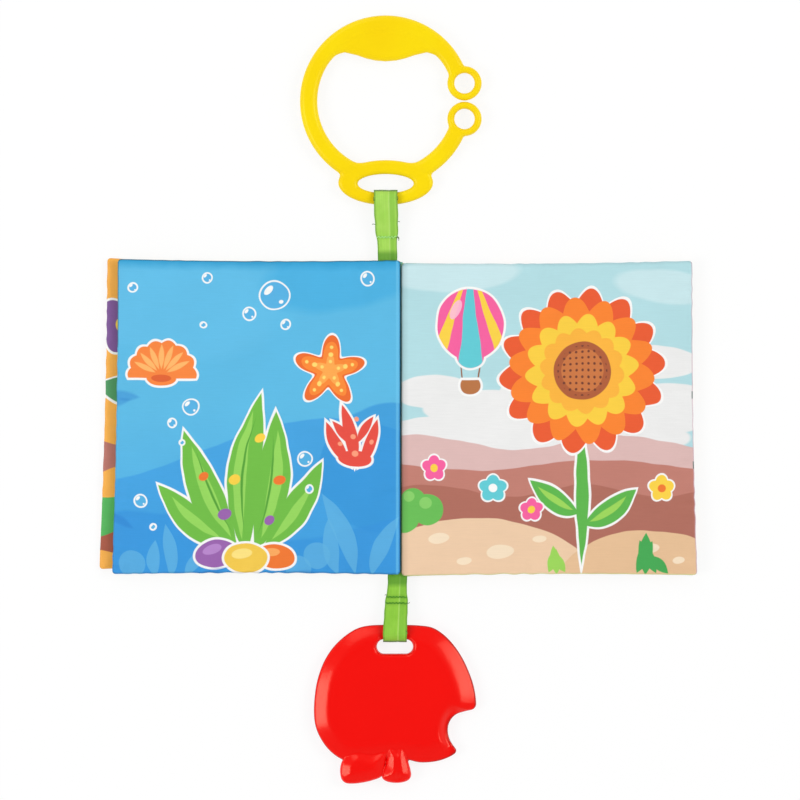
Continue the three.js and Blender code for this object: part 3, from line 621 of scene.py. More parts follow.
def ribbon_material(name, turn_at, inside, ground, light_green):
    """Green tape: its ribs run along V of the map, in millimetres; U runs across."""
    p = Finish(name, ground, wobble=0, by_uv=True)
    across, along = p.parts(p.solid)[:2]
    p.blend(p.times(p.noise(0.16), 0.9), light_green)
    streak = p.noise(1, (1.7, 0.05, 1), detail=3)
    p.shade(streak, 0.84, 1.16)
    # painted highlight along the ridge of the lengthwise crease, and painted shade in the band beside it
    p.lay(p.band(across, 1.5, 0.16), rgb(206, 244, 134), soft=0.7, cover=0.5)
    p.lay(p.band(across, 3, 1), rgb(126, 196, 52), soft=1.4, cover=0.55)
    p.lay(p.minus(5.05, p.math("ABSOLUTE", across)), rgb(100, 160, 40), soft=0.8, cover=0.6)
    # painted shade: dark green at the fold round the bar, and a painted shadow near the sewn ends where the
    # ribbon goes in under the page
    p.lay(p.band(along, turn_at, 2.5), rgb(70, 122, 30), soft=1, cover=0.85)
    root = p.math("MINIMUM", along, p.minus(2 * turn_at, along))
    p.lay(p.minus(root, inside + 1.2), rgb(76, 146, 30), soft=3.4, cover=0.7)
    ribs, weft = (p.math("SINE", p.times(value, TURN / pitch))
                  for value, pitch in ((across, 0.55), (along, 0.4)))
    p.shade(p.scaled(ribs, 0.5, 0.5), 0.95, 1.03)
    p.bump(p.scaled(ribs, 0.8, weft), 0.035)
    p.roughen(streak, 0.2, 0.42)
    return p.done(sheen_weight=0.15, sheen_roughness=0.35, specular_ior_level=0.35)


def thread_material(name, colour, light_colour):
    p = Finish(name, colour, wobble=0)
    p.blend(p.noise(0.9, detail=3), light_colour)
    p.shade(p.noise(5), 0.88, 1.1)
    p.bump(p.noise(4, detail=3), 0.05)
    return p.done(roughness=0.5, sheen_weight=0.1, specular_ior_level=0.3)


def yellow_plastic():
    p = Finish("yellow_moulded_plastic", rgb(250, 210, 0), wobble=0)
    p.blend(p.noise(0.045, detail=1), rgb(254, 228, 4))
    p.shade(p.noise(0.5, detail=4), 0.985, 1.012)
    p.roughen(p.noise(1, (0.5, 1.6, 1), detail=5, rough=0.6), 0.16, 0.26)
    p.bump(p.noise(0.35, detail=3), 0.03)
    return p.done(specular_ior_level=0.4, specular_tint=(1, 0.92, 0.4, 1))


HEAD_LEVEL, FOOT_LEVEL = 4.625, 4.912  # heights of the ring's and the teether's middle planes


def red_plastic():
    p = Finish("red_moulded_plastic", rgb(244, 0, 2), wobble=0)
    p.blend(p.noise(0.03, detail=1), rgb(252, 6, 4))
    p.shade(p.noise(0.4, detail=3), 0.985, 1.012)
    p.roughen(p.noise(1, (1.4, 0.5, 1), detail=5, rough=0.62), 0.1, 0.12)
    # painted shade: a dark red band round the rim, at the middle plane
    p.lay(p.band(p.parts(p.solid)[2], FOOT_LEVEL, 0.5), rgb(150, 4, 6), soft=0.7, cover=0.8)
    p.bump(p.noise(0.12), 0.05)
    return p.done(specular_ior_level=0.6, specular_tint=(1, 0.47, 0.34, 1))


def wadding_material():
    p = Finish("wadding_fibre", rgb(246, 246, 242), wobble=0)
    p.shade(p.noise(0.2, detail=4), 0.9, 1.04)
    p.bump(p.noise(1.3, detail=5, rough=0.7), 0.4)
    return p.done(roughness=0.95, sheen_weight=0.3)


def film_material():
    p = Finish("crinkle_film_gloss", rgb(232, 238, 242), wobble=0)
    p.shade(p.noise(0.3), 0.92, 1.05)
    p.bump(p.noise(0.35, detail=4, rough=0.7), 0.25)
    p.roughen(p.noise(0.5), 0.2, 0.12)
    return p.done(specular_ior_level=0.6)


# Mesh helpers


def build(name, points, faces, material, slot, map_points=None):
    """A closed mesh piece from points in millimetres, with all its faces turned outwards."""
    mesh = bpy.data.meshes.new(name)
    mesh.from_pydata((np.asarray(points, dtype=float) * MM).tolist(), [], [list(map(int, f)) for f in faces])
    work = bmesh.new()
    work.from_mesh(mesh)
    bmesh.ops.recalc_face_normals(work, faces=work.faces)
    for face in work.faces:
        face.smooth = True
    work.to_mesh(mesh)
    work.free()
    if map_points is not None:
        layer = mesh.uv_layers.new(name="map")
        corners = np.empty(len(mesh.loops), dtype=np.int32)
        mesh.loops.foreach_get("vertex_index", corners)
        layer.data.foreach_set("uv", (np.asarray(map_points, dtype=float) * MM)[corners].ravel())
    mesh.materials.append(material)
    piece = linked(name, mesh)
    return piece


def listed(*parts):
    """Coordinates over one grid, as a list of points."""
    return np.stack(np.broadcast_arrays(*parts), axis=-1).reshape(-1, len(parts))


def grid_quads(rows, columns):
    """The numbers of a grid's points, and the four corners of each of its cells."""
    index = np.arange(rows * columns).reshape(rows, columns)
    quads = np.stack([index[:-1, :-1], index[:-1, 1:], index[1:, 1:], index[1:, :-1]], axis=-1)
    return index, quads.reshape(-1, 4)


def sheet_faces(rows, columns):
    """The faces of a closed sheet whose points are two grids, one after the other."""
    index, upper = grid_quads(rows, columns)
    count = rows * columns
    rim = np.concatenate([index[0, :-1], index[:-1, -1], index[-1, :0:-1], index[:0:-1, 0]])
    following = np.roll(rim, -1)
    wall = np.stack([rim + count, following + count, following, rim], axis=-1)
    return np.concatenate([upper, upper[:, ::-1] + count, wall])


def sheet_between(x, y, top, bottom):
    """Points and faces of a closed sheet between two surfaces over one grid."""
    return np.concatenate([listed(x, y, top), listed(x, y, bottom)]), sheet_faces(*x.shape)


def lofted(sections):
    """Points and faces of a solid through closed sections with equally many points."""
    index = np.arange(len(sections) * len(sections[0])).reshape(len(sections), -1)
    following = np.roll(index, -1, axis=1)
    walls = np.stack([index[:-1], following[:-1], following[1:], index[1:]], axis=-1).reshape(-1, 4)
    return np.concatenate(sections), walls.tolist() + [index[0, ::-1].tolist(), index[-1].tolist()]


def unit(vectors):
    return vectors / np.linalg.norm(vectors, axis=-1, keepdims=True)


def run_along(points):
    """How far along a line each of its points lies."""
    return np.concatenate([[0], np.cumsum(np.linalg.norm(np.diff(points, axis=0), axis=1))])


def smooth_path(points, steps, rounds):
    """An even, rounded path along a line, and how far along the line each of its steps is taken."""
    points = np.asarray(points, dtype=float)
    run = run_along(points)
    even = np.linspace(0, run[-1], steps)
    path = np.stack([np.interp(even, run, part) for part in points.T], axis=-1)
    for _ in range(rounds):
        path[1:-1] = (path[:-2] + 2 * path[1:-1] + path[2:]) / 4
    return path, even


PLY_DEPTH = 0.16  # of a strand's radius


def tube(path, radius, sides=10, plies=0, pitch=1.4):
    """A round or twisted strand along a path."""
    along = unit(np.gradient(path, axis=0))
    side = np.cross(along[0], (0.3, 0.2, 1))
    angle = np.linspace(0, TURN, sides, endpoint=False)[:, None]
    sections = []
    for place, tangent, distance in zip(path, along, run_along(path)):
        side = unit(side - tangent * side.dot(tangent))
        up = np.cross(tangent, side)
        lobes = PLY_DEPTH * np.cos(plies * angle - TURN * distance / pitch) if plies else 0
        sections.append(place + radius * (1 + lobes) * (np.cos(angle) * side + np.sin(angle) * up))
    return lofted(sections)


def ripples(x, y, pitch, seed, count=14):
    """Soft uneven waves about one pitch long, from a fixed seed."""
    dice = np.random.default_rng(seed)
    total = np.zeros(np.broadcast(x, y).shape)
    for _ in range(count):
        angle, phase = dice.uniform(0, TURN, 2)
        wave = TURN / (pitch * dice.uniform(0.7, 1.6))
        total = total + np.cos(wave * (x * math.cos(angle) + y * math.sin(angle)) + phase)
    return total / math.sqrt(count)


def between(pair, share):
    return pair[0] + (pair[1] - pair[0]) * share


def rise(distance, run):
    share = np.clip(distance / run, 0, 1)
    return share * share * (3 - 2 * share)


def quarter(distance, run):
    """The height of a quarter circle that starts upright at distance 0."""
    share = np.clip(distance / run, 0, 1)
    return np.sqrt(np.maximum(0, 1 - (1 - share) ** 2))


# Leaves

HALF_HEIGHT = LEAF_HEIGHT / 2
LEAF_HALF = 2  # half a leaf's thickness
LEAF_CORNER = 1.7
DRAW_IN = 0.8  # how far the swell pulls the middle of a page's edge inwards
COVER_DRAW_IN = 2.5
SEAM_HALF = 0.42
SKIN = 0.3
COVER_LEVEL = 2
PAGE_LEVEL = 6.3
COVER_GUTTER = 1.2
PAGE_GUTTER = 0.3
PUCKER_PITCH = 9.2  # from one pucker of a seam to the next
PUCKER_HEIGHT = 0.5  # the most that the simulated swell adds to a face
GUTTER_SEAM, OUTER_SEAM, FOOT_SEAM, HEAD_SEAM = range(1, 5)
SEAM_PULL = 0.28  # how far the puckers move a leaf's edge in and out
SEAM_EASE = 0.1  # how far they let it out on the whole
SEAM_PULL_REACH = 6
SEAM_END = 9  # the run at a seam's two ends in which this pull fades
DENT_ROOM = 0.16  # the share of the swell that is given up for dents
DENT_LIFT = 0.16  # how far the dents are lifted from where they would lie on average
VALLEY_DEPTH = 0.36  # of the valleys between the puckers, on the leaf's faces
VALLEY_AT = 2.2  # how far from the seam they are deepest
VALLEY_REACH = 3.6
PINCH_IN = 3.4  # how far in from its edge a page is pressed flat by a ribbon
PINCH_RUN = 3.5
PINCH_SIDE_RUN = 3
FOOT_PINCH = {-1: 7.5, 1: 4}  # how far from the gutter that reaches, left and right
HEAD_PINCH = 12  # on the left page only
PINCHED_HALF = 0.72


def to_segment(x, y, x0, y0, x1, y1):
    dx, dy = x1 - x0, y1 - y0
    share = np.clip(((x - x0) * dx + (y - y0) * dy) / (dx * dx + dy * dy), 0, 1)
    return np.hypot(x - x0 - share * dx, y - y0 - share * dy), share


def spaced(length, edge, fine, coarse):
    near = np.arange(0, edge, fine)
    count = max(2, round((length - 2 * edge) / coarse))
    return np.concatenate([near, np.linspace(edge, length - edge, count + 1), (length - near)[::-1]])


def sample(grid, row, column):
    """Smooth values between the points of a regular grid."""
    def weights(t):
        return [((-t + 2) * t - 1) * t / 2, ((3 * t - 5) * t * t + 2) / 2,
                ((-3 * t + 4) * t + 1) * t / 2, (t - 1) * t * t / 2]
    r0 = np.clip(np.floor(row).astype(int), 0, grid.shape[0] - 2)
    c0 = np.clip(np.floor(column).astype(int), 0, grid.shape[1] - 2)
    total = 0
    for i, wr in enumerate(weights(row - r0)):
        for j, wc in enumerate(weights(column - c0)):
            r = np.clip(r0 + i - 1, 0, grid.shape[0] - 1)
            c = np.clip(c0 + j - 1, 0, grid.shape[1] - 1)
            total = total + wr * wc * grid[r, c]
    return total


SIM_SCALE = 0.01  # the pillow is blown up at ten times the leaf's size
SIM_CELLS = (34, 37)
SIM_FRAMES = 20
SIM_CLOTH = {"quality": 6, "mass": 0.25, "tension_stiffness": 30, "compression_stiffness": 30,
             "shear_stiffness": 12, "bending_stiffness": 0.08, "use_pressure": True,
             "uniform_pressure_force": 4}


def inflated(seed):
    """How a sewn pillow of a leaf's size swells and puckers, as a grid of heights for each side."""
    columns, rows = SIM_CELLS[0] + 1, SIM_CELLS[1] + 1
    u, v = np.meshgrid(np.linspace(0, PAGE_WIDTH, columns), np.linspace(0, LEAF_HEIGHT, rows))
    inner = (u > 0) & (u < PAGE_WIDTH) & (v > 0) & (v < LEAF_HEIGHT)
    top = listed(u, v, np.where(inner, 1.2 + 0.35 * ripples(u, v, 24, seed), 0))
    inner = inner.ravel()
    under = np.arange(rows * columns)
    under[inner] = rows * columns + np.arange(inner.sum())
    _, quads = grid_quads(rows, columns)
    faces = np.concatenate([quads, under[quads][:, ::-1]])
    mesh = bpy.data.meshes.new("pillow")
    mesh.from_pydata((np.concatenate([top, top[inner] * (1, 1, -1)]) * SIM_SCALE).tolist(), [],
                     faces.tolist())
    pillow = linked("pillow", mesh)
    cloth = pillow.modifiers.new("swell", "CLOTH")
    for name, value in SIM_CLOTH.items():
        setattr(cloth.settings, name, value)
    cloth.settings.effector_weights.gravity = 0
    cloth.point_cache.frame_start = 1
    cloth.point_cache.frame_end = SIM_FRAMES
    for step in range(1, SIM_FRAMES + 1):
        scene.frame_set(step)
    done = pillow.evaluated_get(bpy.context.evaluated_depsgraph_get())
    flat = np.empty(len(done.data.vertices) * 3)
    done.data.vertices.foreach_get("co", flat)
    moved = flat.reshape(-1, 3) / SIM_SCALE
    bpy.data.objects.remove(pillow)
    bpy.data.meshes.remove(mesh)
    scene.frame_set(1)
    if not np.isfinite(moved).all() or np.abs(moved).max() > 4 * LEAF_HEIGHT:
        return None
    heights = moved[:, 2]
    return {"top": heights[:rows * columns].reshape(rows, columns),
            "bottom": -heights[under].reshape(rows, columns)}


BROAD_WAVES = range(1, 8)  # how many half waves a broad swell may have, each way


def broad_waves(a, b):
    """The broad waves over a leaf: a swell less its fit to them is its puckers."""
    return np.stack([np.sin(math.pi * i * a) * np.sin(math.pi * j * b)
                     for i in BROAD_WAVES for j in BROAD_WAVES], axis=-1)


class Leaf:
    """The two faces of a sewn leaf, over u from its gutter seam and v from its foot."""

    def __init__(self, side, on_top, width_shares, head_shares, foot_shares, seed, ruffle, creases=()):
        self.side = side
        self.gutter = PAGE_GUTTER if on_top else COVER_GUTTER
        self.level = PAGE_LEVEL if on_top else COVER_LEVEL
        self.draw_in = DRAW_IN if on_top else COVER_DRAW_IN
        self.width_shares, self.head_shares, self.foot_shares = width_shares, head_shares, foot_shares
        self.seed = seed
        self.ruffle = ruffle  # how much the gutter, outer, foot and head seams pucker
        self.creases = creases
        self.swell = inflated(seed)
        if self.swell:
            rows, columns = self.swell["top"].shape
            a, b = np.meshgrid(np.linspace(0, 1, columns), np.linspace(0, 1, rows))
            mean = (self.swell["top"] + self.swell["bottom"]) / 2
            waves = broad_waves(a, b).reshape(mean.size, -1)
            self.broad_swell = np.linalg.lstsq(waves, mean.ravel(), rcond=None)[0]

    def seams(self, u, v):
        """For each seam: the distance from it, the place along it, its own seed and its ruffle."""
        lines = ((u, v, GUTTER_SEAM), (PAGE_WIDTH - u, v, OUTER_SEAM), (v, u, FOOT_SEAM),
                 (LEAF_HEIGHT - v, u, HEAD_SEAM))
        return [(*line, force) for line, force in zip(lines, self.ruffle)]

    def puckers(self, along, number):
        """The rise and fall of a seam, and its phase."""
        phase = TURN * along / PUCKER_PITCH + 2.6 * ripples(along, 0, 31, self.seed + number * 17)
        vigour = 0.55 + 0.45 * ripples(along, 0, 44, self.seed + number * 29)
        return np.cos(phase) * np.clip(vigour, 0.08, 1.3), phase

    def place(self, u, v):
        in_u, in_v = (np.where(t < LEAF_CORNER, LEAF_CORNER - t, np.minimum(0, length - LEAF_CORNER - t))
                      for t, length in ((u, PAGE_WIDTH), (v, LEAF_HEIGHT)))
        corner = (in_u != 0) & (in_v != 0)
        reach = np.maximum(np.hypot(in_u, in_v), 1e-9)
        back = np.where(corner, 1 - np.maximum(np.abs(in_u), np.abs(in_v)) / reach, 0)
        u, v = u + in_u * back, v + in_v * back
        pull_u, pull_v = 0, 0
        for distance, along, number, force in self.seams(u, v):
            wave, _ = self.puckers(along, number)
            upright = number in (GUTTER_SEAM, OUTER_SEAM)
            length = LEAF_HEIGHT if upright else PAGE_WIDTH
            fading = np.exp(-np.clip(distance, 0, None) / SEAM_PULL_REACH)
            inward = force * (SEAM_PULL * wave - SEAM_EASE) * fading
            inward = inward * rise(along, SEAM_END) * rise(length - along, SEAM_END)
            if upright:
                pull_u = pull_u + inward * (0.25 if number == GUTTER_SEAM else -1)
            else:
                pull_v = pull_v + inward * (1 if number == FOOT_SEAM else -1)
        a, b = u / PAGE_WIDTH, v / LEAF_HEIGHT
        width = PAGE_WIDTH * between(self.width_shares, b)
        x = self.gutter + a * (width - self.gutter) - DRAW_IN * a * 4 * b * (1 - b)
        ends = -HALF_HEIGHT * between(self.foot_shares, a), HALF_HEIGHT * between(self.head_shares, a)
        y = between(ends, b) * (1 - self.draw_in / HALF_HEIGHT * 4 * a * (1 - a))
        return self.side * (x + pull_u), y + pull_v

    def crown(self, u, v):
        """The share of its full thickness that the padding gives a leaf: nothing at the seams."""
        def over(distance):
            return 0.6 * quarter(distance, 2.6) + 0.4 * rise(distance, 17)
        return over(u) * over(PAGE_WIDTH - u) * over(v) * over(LEAF_HEIGHT - v)

    def drift(self, u, v):
        """How far the seams wander up and down; the middle stays level."""
        total = 0
        for distance, along, number, force in self.seams(u, v):
            wave, _ = self.puckers(along, number)
            total = total + force * 0.55 * wave * np.exp(-distance / 4.2)
            total = total + 0.35 * ripples(along, 0, 70, self.seed + number * 41) * np.exp(-distance / 8)
        return np.clip(total, -1.1, 1.1) * rise(u, 5)

    def half(self, u, v, upper):
        """How far a face lies from the middle of the leaf."""
        size = LEAF_HALF - SEAM_HALF
        salt = self.seed + (0 if upper else 500)
        dents = 0.17 * ripples(u, v, 46, salt + 3) + 0.17 * ripples(u, v, 21, salt + 5)
        sharp = 0.18 * np.abs(ripples(u, v, 30, salt + 7)) + 0.1 * np.abs(ripples(u, v, 15, salt + 9))
        crown = self.crown(u, v)
        height = size * crown * (1 - DENT_ROOM) + crown * (dents + DENT_LIFT - sharp)
        for distance, along, number, force in self.seams(u, v):
            _, phase = self.puckers(along, number)
            valley = force * VALLEY_DEPTH * (0.5 - 0.5 * np.cos(phase + 1.1)) * rise(distance, VALLEY_AT)
            height = height - valley * np.exp(-np.clip(distance - VALLEY_AT, 0, None) / VALLEY_REACH)
        if self.swell:
            a, b = u / PAGE_WIDTH, v / LEAF_HEIGHT
            blown = sample(self.swell["top" if upper else "bottom"], b * SIM_CELLS[1], a * SIM_CELLS[0])
            puckers = np.tanh((blown - broad_waves(a, b) @ self.broad_swell) / 2.2)
            height = height + PUCKER_HEIGHT * puckers * crown
        if upper:
            for x0, y0, x1, y1, depth, width in self.creases:
                apart, share = to_segment(u, v, x0, y0, x1, y1)
                height = height - depth * (1 - share) * np.exp(-(apart / width) ** 2) * rise(u, 1)
        return SEAM_HALF + np.clip(height, 0, size - 0.03)

    def faces(self, u, v):
        """Heights of the two faces; a page presses flat where a ribbon goes in under it."""
        pinch = 0
        if self.level == PAGE_LEVEL:
            at_foot = 1 - rise(v - PINCH_IN, PINCH_RUN)
            at_foot = at_foot * (1 - rise(u - FOOT_PINCH[self.side], PINCH_SIDE_RUN))
            at_head = 1 - rise(LEAF_HEIGHT - v - PINCH_IN, PINCH_RUN)
            at_head = at_head * (1 - rise(u - HEAD_PINCH, PINCH_SIDE_RUN)) * (self.side < 0)
            pinch = np.maximum(at_foot, at_head)
        drift = self.drift(u, v) * (1 - pinch)
        room = LEAF_HALF - 0.02 - np.abs(drift)
        top = np.minimum(self.half(u, v, True), room)
        bottom = np.minimum(self.half(u, v, False), room)
        bottom = bottom + (np.minimum(bottom, PINCHED_HALF) - bottom) * pinch
        return self.level + drift + top, self.level + drift - bottom


LEAVES = {
    "cover_front": Leaf(-1, False, (1.05, 1.022), (0.995, 1.012), (0.995, 0.968), 11, (0.2, 0.8, 1, 0.8)),
    "page_left": Leaf(
        -1, True, (1.004, 0.984), (0.995, 1.003), (1, 0.997), 23, (0.35, 0.55, 1, 0.6),
        creases=((137, 85, 118, 88, 0.8, 1.6), (137, 28, 121, 26, 0.7, 1.4), (137, 60, 128, 57, 0.5, 1.6),
                 (0, 118, 13, 126, 0.5, 2), (2, 40, 16, 33, 0.6, 1.8), (60, 150, 66, 138, 0.6, 2),
                 (95, 0, 98, 10, 0.7, 1.6), (34, 0, 31, 12, 0.6, 1.5))),
    "page_right": Leaf(
        1, True, (1.029, 1.012), (0.977, 0.991), (1.009, 1.003), 37, (0.35, 0.7, 0.9, 0.5),
        creases=((137, 90, 118, 84, 0.8, 1.6), (137, 86, 123, 92, 0.6, 1.4), (137, 54, 119, 50, 0.7, 1.8),
                 (137, 51, 126, 57, 0.5, 1.4), (0, 58, 14, 66, 0.5, 2), (108, 0, 112, 13, 0.8, 1.8),
                 (124, 0, 119, 9, 0.6, 1.5), (70, 150, 66, 139, 0.5, 2))),
    "cover_back": Leaf(1, False, (1.025, 1.009), (0.981, 0.985), (1.016, 1.008), 53, (0.2, 0.6, 0.8, 0.6)),
}

FACE_MATERIALS = {
    "cover_front_upper_cloth": orchard(),
    "cover_front_lower_cloth": repeated("front_cover_outer_print", rgb(255, 176, 66), rgb(94, 178, 92),
                                        rgb(238, 92, 64), rgb(255, 232, 128)),
    "page_left_upper_cloth": under_water(),
    "page_left_lower_cloth": repeated("left_page_back_print", rgb(148, 208, 120), rgb(76, 160, 84),
                                      WHITE, rgb(255, 196, 66), 30),
    "page_right_upper_cloth": hills(),
    "page_right_lower_cloth": repeated("right_page_back_print", rgb(246, 206, 128), rgb(112, 188, 96),
                                       rgb(104, 190, 216), rgb(240, 110, 70), 36),
    "cover_back_upper_cloth": repeated("back_cover_inner_print", rgb(200, 225, 140), rgb(124, 188, 92),
                                       rgb(246, 120, 160), rgb(255, 226, 110), 32),
    "cover_back_lower_cloth": repeated("back_cover_outer_print", rgb(255, 176, 66), rgb(94, 178, 92),
                                       rgb(104, 180, 220), rgb(255, 232, 128)),
}
SLOTS = {
    "page_left_upper_cloth": "blue_page_cloth", "page_right_upper_cloth": "aqua_page_cloth",
    "page_left_lower_cloth": "inner_page_cloth", "page_right_lower_cloth": "inner_page_cloth",
}
WADDING = wadding_material()
FILM_GLOSS = film_material()
PADDING_INSET = 8.96
FILM = 0.08  # the film's thickness
FILM_GAP = 0.08  # the least gap between the upper cloth and the film is this and FILM_RIPPLE
FILM_RIPPLE = 0.09
PAD_UNDER = 0.3  # from the film's upper side down to the wadding, but for its lumps
PAD_OVER = 0.15  # from the lower cloth up to the wadding, but for its lumps
PADDING_GRID = (56, 60)
SEAM_ZONE = 7  # along the seams, where the grid is finer
SPACING = {PAGE_LEVEL: (0.5, 1.5), COVER_LEVEL: (0.8, 2.1)}  # of the grid, in that zone and inside it


def make_leaf(name, leaf):
    spacing = SPACING[leaf.level]
    u, v = np.meshgrid(spaced(PAGE_WIDTH, SEAM_ZONE, *spacing), spaced(LEAF_HEIGHT, SEAM_ZONE, *spacing))
    x, y = leaf.place(u, v)
    top, bottom = leaf.faces(u, v)
    for face, high, low in (("upper", top, top - SKIN), ("lower", bottom + SKIN, bottom)):
        node = f"{name}_{face}_cloth"
        piece = build(f"{node}_sewn", *sheet_between(x, y, high, low), FACE_MATERIALS[node],
                      SLOTS.get(node, "cover_cloth"), np.concatenate([listed(u, v)] * 2))
        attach(piece, name)
        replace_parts(piece, node)
    u, v = np.meshgrid(*(np.linspace(PADDING_INSET, length - PADDING_INSET, count)
                         for length, count in zip((PAGE_WIDTH, LEAF_HEIGHT), PADDING_GRID)))
    x, y = leaf.place(u, v)
    top, bottom = leaf.faces(u, v)
    under = top - SKIN - FILM_GAP - FILM_RIPPLE * (1 + np.abs(ripples(u, v, 8, leaf.seed + 70)))
    film = build(f"{name}_film_sheet", *sheet_between(x, y, under, under - FILM), FILM_GLOSS, "crinkle_film")
    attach(film, name)
    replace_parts(film, f"{name}_crinkle_film")
    lumps = 0.1 * ripples(u, v, 12, leaf.seed + 80)
    edge = rise(np.minimum.reduce([u, PAGE_WIDTH - u, v, LEAF_HEIGHT - v]) - PADDING_INSET, 3)
    upper = under - PAD_UNDER + np.minimum(lumps, 0.1)
    lower = bottom + SKIN + PAD_OVER + 0.1 * np.abs(lumps)
    middle = (upper + lower) / 2
    reach = np.maximum((upper - lower) / 2, 0.2) * (0.25 + 0.75 * edge)
    pad = build(f"{name}_wadding_pad", *sheet_between(x, y, middle + reach, middle - reach), WADDING,
                "wadding")
    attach(pad, name)
    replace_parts(pad, f"{name}_wadding")


for leaf_name, leaf in LEAVES.items():
    make_leaf(leaf_name, leaf)

# Spine

SPINE_HEAD = 74.75
SPINE_FOOT = -76.2
SPINE_CLOTH_HALF = 4.1
SPINE_CLOTH = 0.45
SPINE_PUCKER = 0.06
FOLD_HALF = 0.8
FOLD_TOP = 3.9
THREAD_LEVEL = 4.65
SPINE_STITCHES = 20
HEAD_ENDS = (74.4, 73.4)  # where the leaves end at the gutter, left and right
FOOT_ENDS = (-74.7, -75.8)

x, share = np.meshgrid(np.linspace(-SPINE_CLOTH_HALF, SPINE_CLOTH_HALF, 15), np.linspace(0, 1, 120))
slant = rise(x + 1.2, 2.4)
y = between((between(FOOT_ENDS, slant), between(HEAD_ENDS, slant)), share)
upper = SPINE_CLOTH - SPINE_PUCKER + np.clip(0.03 * ripples(x, y, 5, 301), -SPINE_PUCKER, SPINE_PUCKER)
outer_cloth = build("spine_back_cloth", *sheet_between(x, y, upper, 0),
                    plain_cloth("spine_back_weave", rgb(204, 224, 130)), "spine_cloth")
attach(outer_cloth, "spine")
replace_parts(outer_cloth, "spine_outer_cloth")


def fold_section(y):
    """The round of cloth that is stitched down in the gutter, with its two flanks."""
    lean = 0.12 * math.sin(y / 7) + 0.07 * math.sin(y / 2.9 + 1)
    dip = 0.12 * math.cos(TURN * (y - SPINE_FOOT - 4) / ((SPINE_HEAD - SPINE_FOOT - 8) / SPINE_STITCHES))
    low = SPINE_CLOTH + 0.3
    crest = FOLD_TOP - 0.1 + dip * 0.6
    section = [(FOLD_HALF * 0.9 * math.cos(angle) + lean * 0.5, y, crest - 0.7 + 0.7 * math.sin(angle))
               for angle in np.linspace(0, math.pi, 9)]
    return section + [(-FOLD_HALF * 0.86, y, (low + crest) / 2), (-FOLD_HALF * 0.95, y, low),
                      (FOLD_HALF * 0.95, y, low), (FOLD_HALF * 0.86, y, (low + crest) / 2)]


fold_rows = np.linspace(sum(FOOT_ENDS) / 2, sum(HEAD_ENDS) / 2, 241)
inner_cloth = build("gutter_fold_cloth", *lofted([fold_section(row) for row in fold_rows]),
                    plain_cloth("gutter_weave", rgb(120, 190, 176)), "gutter_cloth")
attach(inner_cloth, "spine")
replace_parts(inner_cloth, "spine_inner_cloth")

stitch_run = np.linspace(0, 1, 481)
stitch_y = between((SPINE_FOOT + LEAF_CORNER, SPINE_HEAD - LEAF_CORNER), stitch_run)
stitch_z = THREAD_LEVEL - 0.03 + 0.13 * np.cos(TURN * SPINE_STITCHES * stitch_run)
stitch_path = listed(0.1 * ripples(stitch_y, 0, 9, 77), stitch_y, stitch_z)
spine_thread = build("gutter_thread", *tube(stitch_path, 0.24, 10, 2),
                     thread_material("gutter_thread_twist", rgb(96, 176, 120), rgb(150, 214, 160)), "thread")
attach(spine_thread, "spine")
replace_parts(spine_thread, "spine_stitching")

# Strips of cloth that cross the hinges of the gutter
WEB_END = 72.4
WEB_HALF = 0.1
WEB_ROWS = 97
WEB_COLUMNS = 25
WEB_MAP_WIDTH = 16


def web(name, body_a, body_b, route, material, slot):
    path, _ = smooth_path(route, WEB_COLUMNS, 4)
    out = WEB_HALF * unit(np.gradient(path, axis=0)[:, ::-1] * (-1, 1))
    rows = np.linspace(-WEB_END, WEB_END, WEB_ROWS)[:, None]
    layers = [listed(edge[:, 0], rows, edge[:, 1]) for edge in (path + out, path - out)]
    map_points = listed(np.linspace(0, WEB_MAP_WIDTH, WEB_COLUMNS), rows)
    piece = build(name, np.concatenate(layers), sheet_faces(WEB_ROWS, WEB_COLUMNS), material, slot,
                  np.concatenate([map_points] * 2))
    ends = [(body_a, route[0]), (body_b, route[-1])]
    if route[0][0] > 0:
        # For the right side's strips the two ends are listed the other way round
        ends.reverse()
    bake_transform(piece)


back_web = plain_cloth("spine_web_weave", rgb(255, 178, 72), by_uv=True)
inner_web = plain_cloth("gutter_web_weave", rgb(196, 220, 130), by_uv=True)
for side, cover, page in ((-1, "cover_front", "page_left"), (1, "cover_back", "page_right")):
    web(f"{cover}_web", "spine", cover, [(side * 0.84, 1), (side * 1.06, 1.25), (side * 1.24, 1.54)],
        back_web, "spine_cloth")
    web(f"{page}_web", cover, page,
        [(side * 1.3, 2.48), (side * 1.36, 3.3), (side * 1.24, 4.3), (side * 0.76, 5.1), (side * 0.36, 5.8)],
        inner_web, "gutter_cloth")

# Ribbons

RIBBON_WIDTH = 11.4
RIBBON_ROOT_WIDTH = 9.1
RIBBON_LAYER = 0.3  # from the middle of a ribbon to the middle of one of its two layers
RIBBON_THICKNESS = 0.42
RIBBON_COLUMNS = 27
STITCH_INSET = 0.55
STITCH_TURNS = 12  # of a row's zigzag

HEAD = {"sign": 1, "bend": 77.05, "level": HEAD_LEVEL, "reach": 26.8, "loop": 4.525, "root_x": -6.4,
        "bar_x": -7.3, "stitches": (8.6,), "seed": 61, "opens": 10.1, "inside": 4.3, "body": "head_ribbon",
        "colours": (rgb(160, 220, 74), rgb(188, 236, 106))}
FOOT = {"sign": -1, "bend": -78.5, "level": FOOT_LEVEL, "reach": 24.1, "loop": 4.812, "root_x": -1.7,
        "bar_x": -2.9, "stitches": (7.2, 10.1), "seed": 87, "opens": 11.6, "inside": 5.6,
        "body": "foot_ribbon", "colours": (rgb(138, 206, 50), rgb(160, 218, 72))}


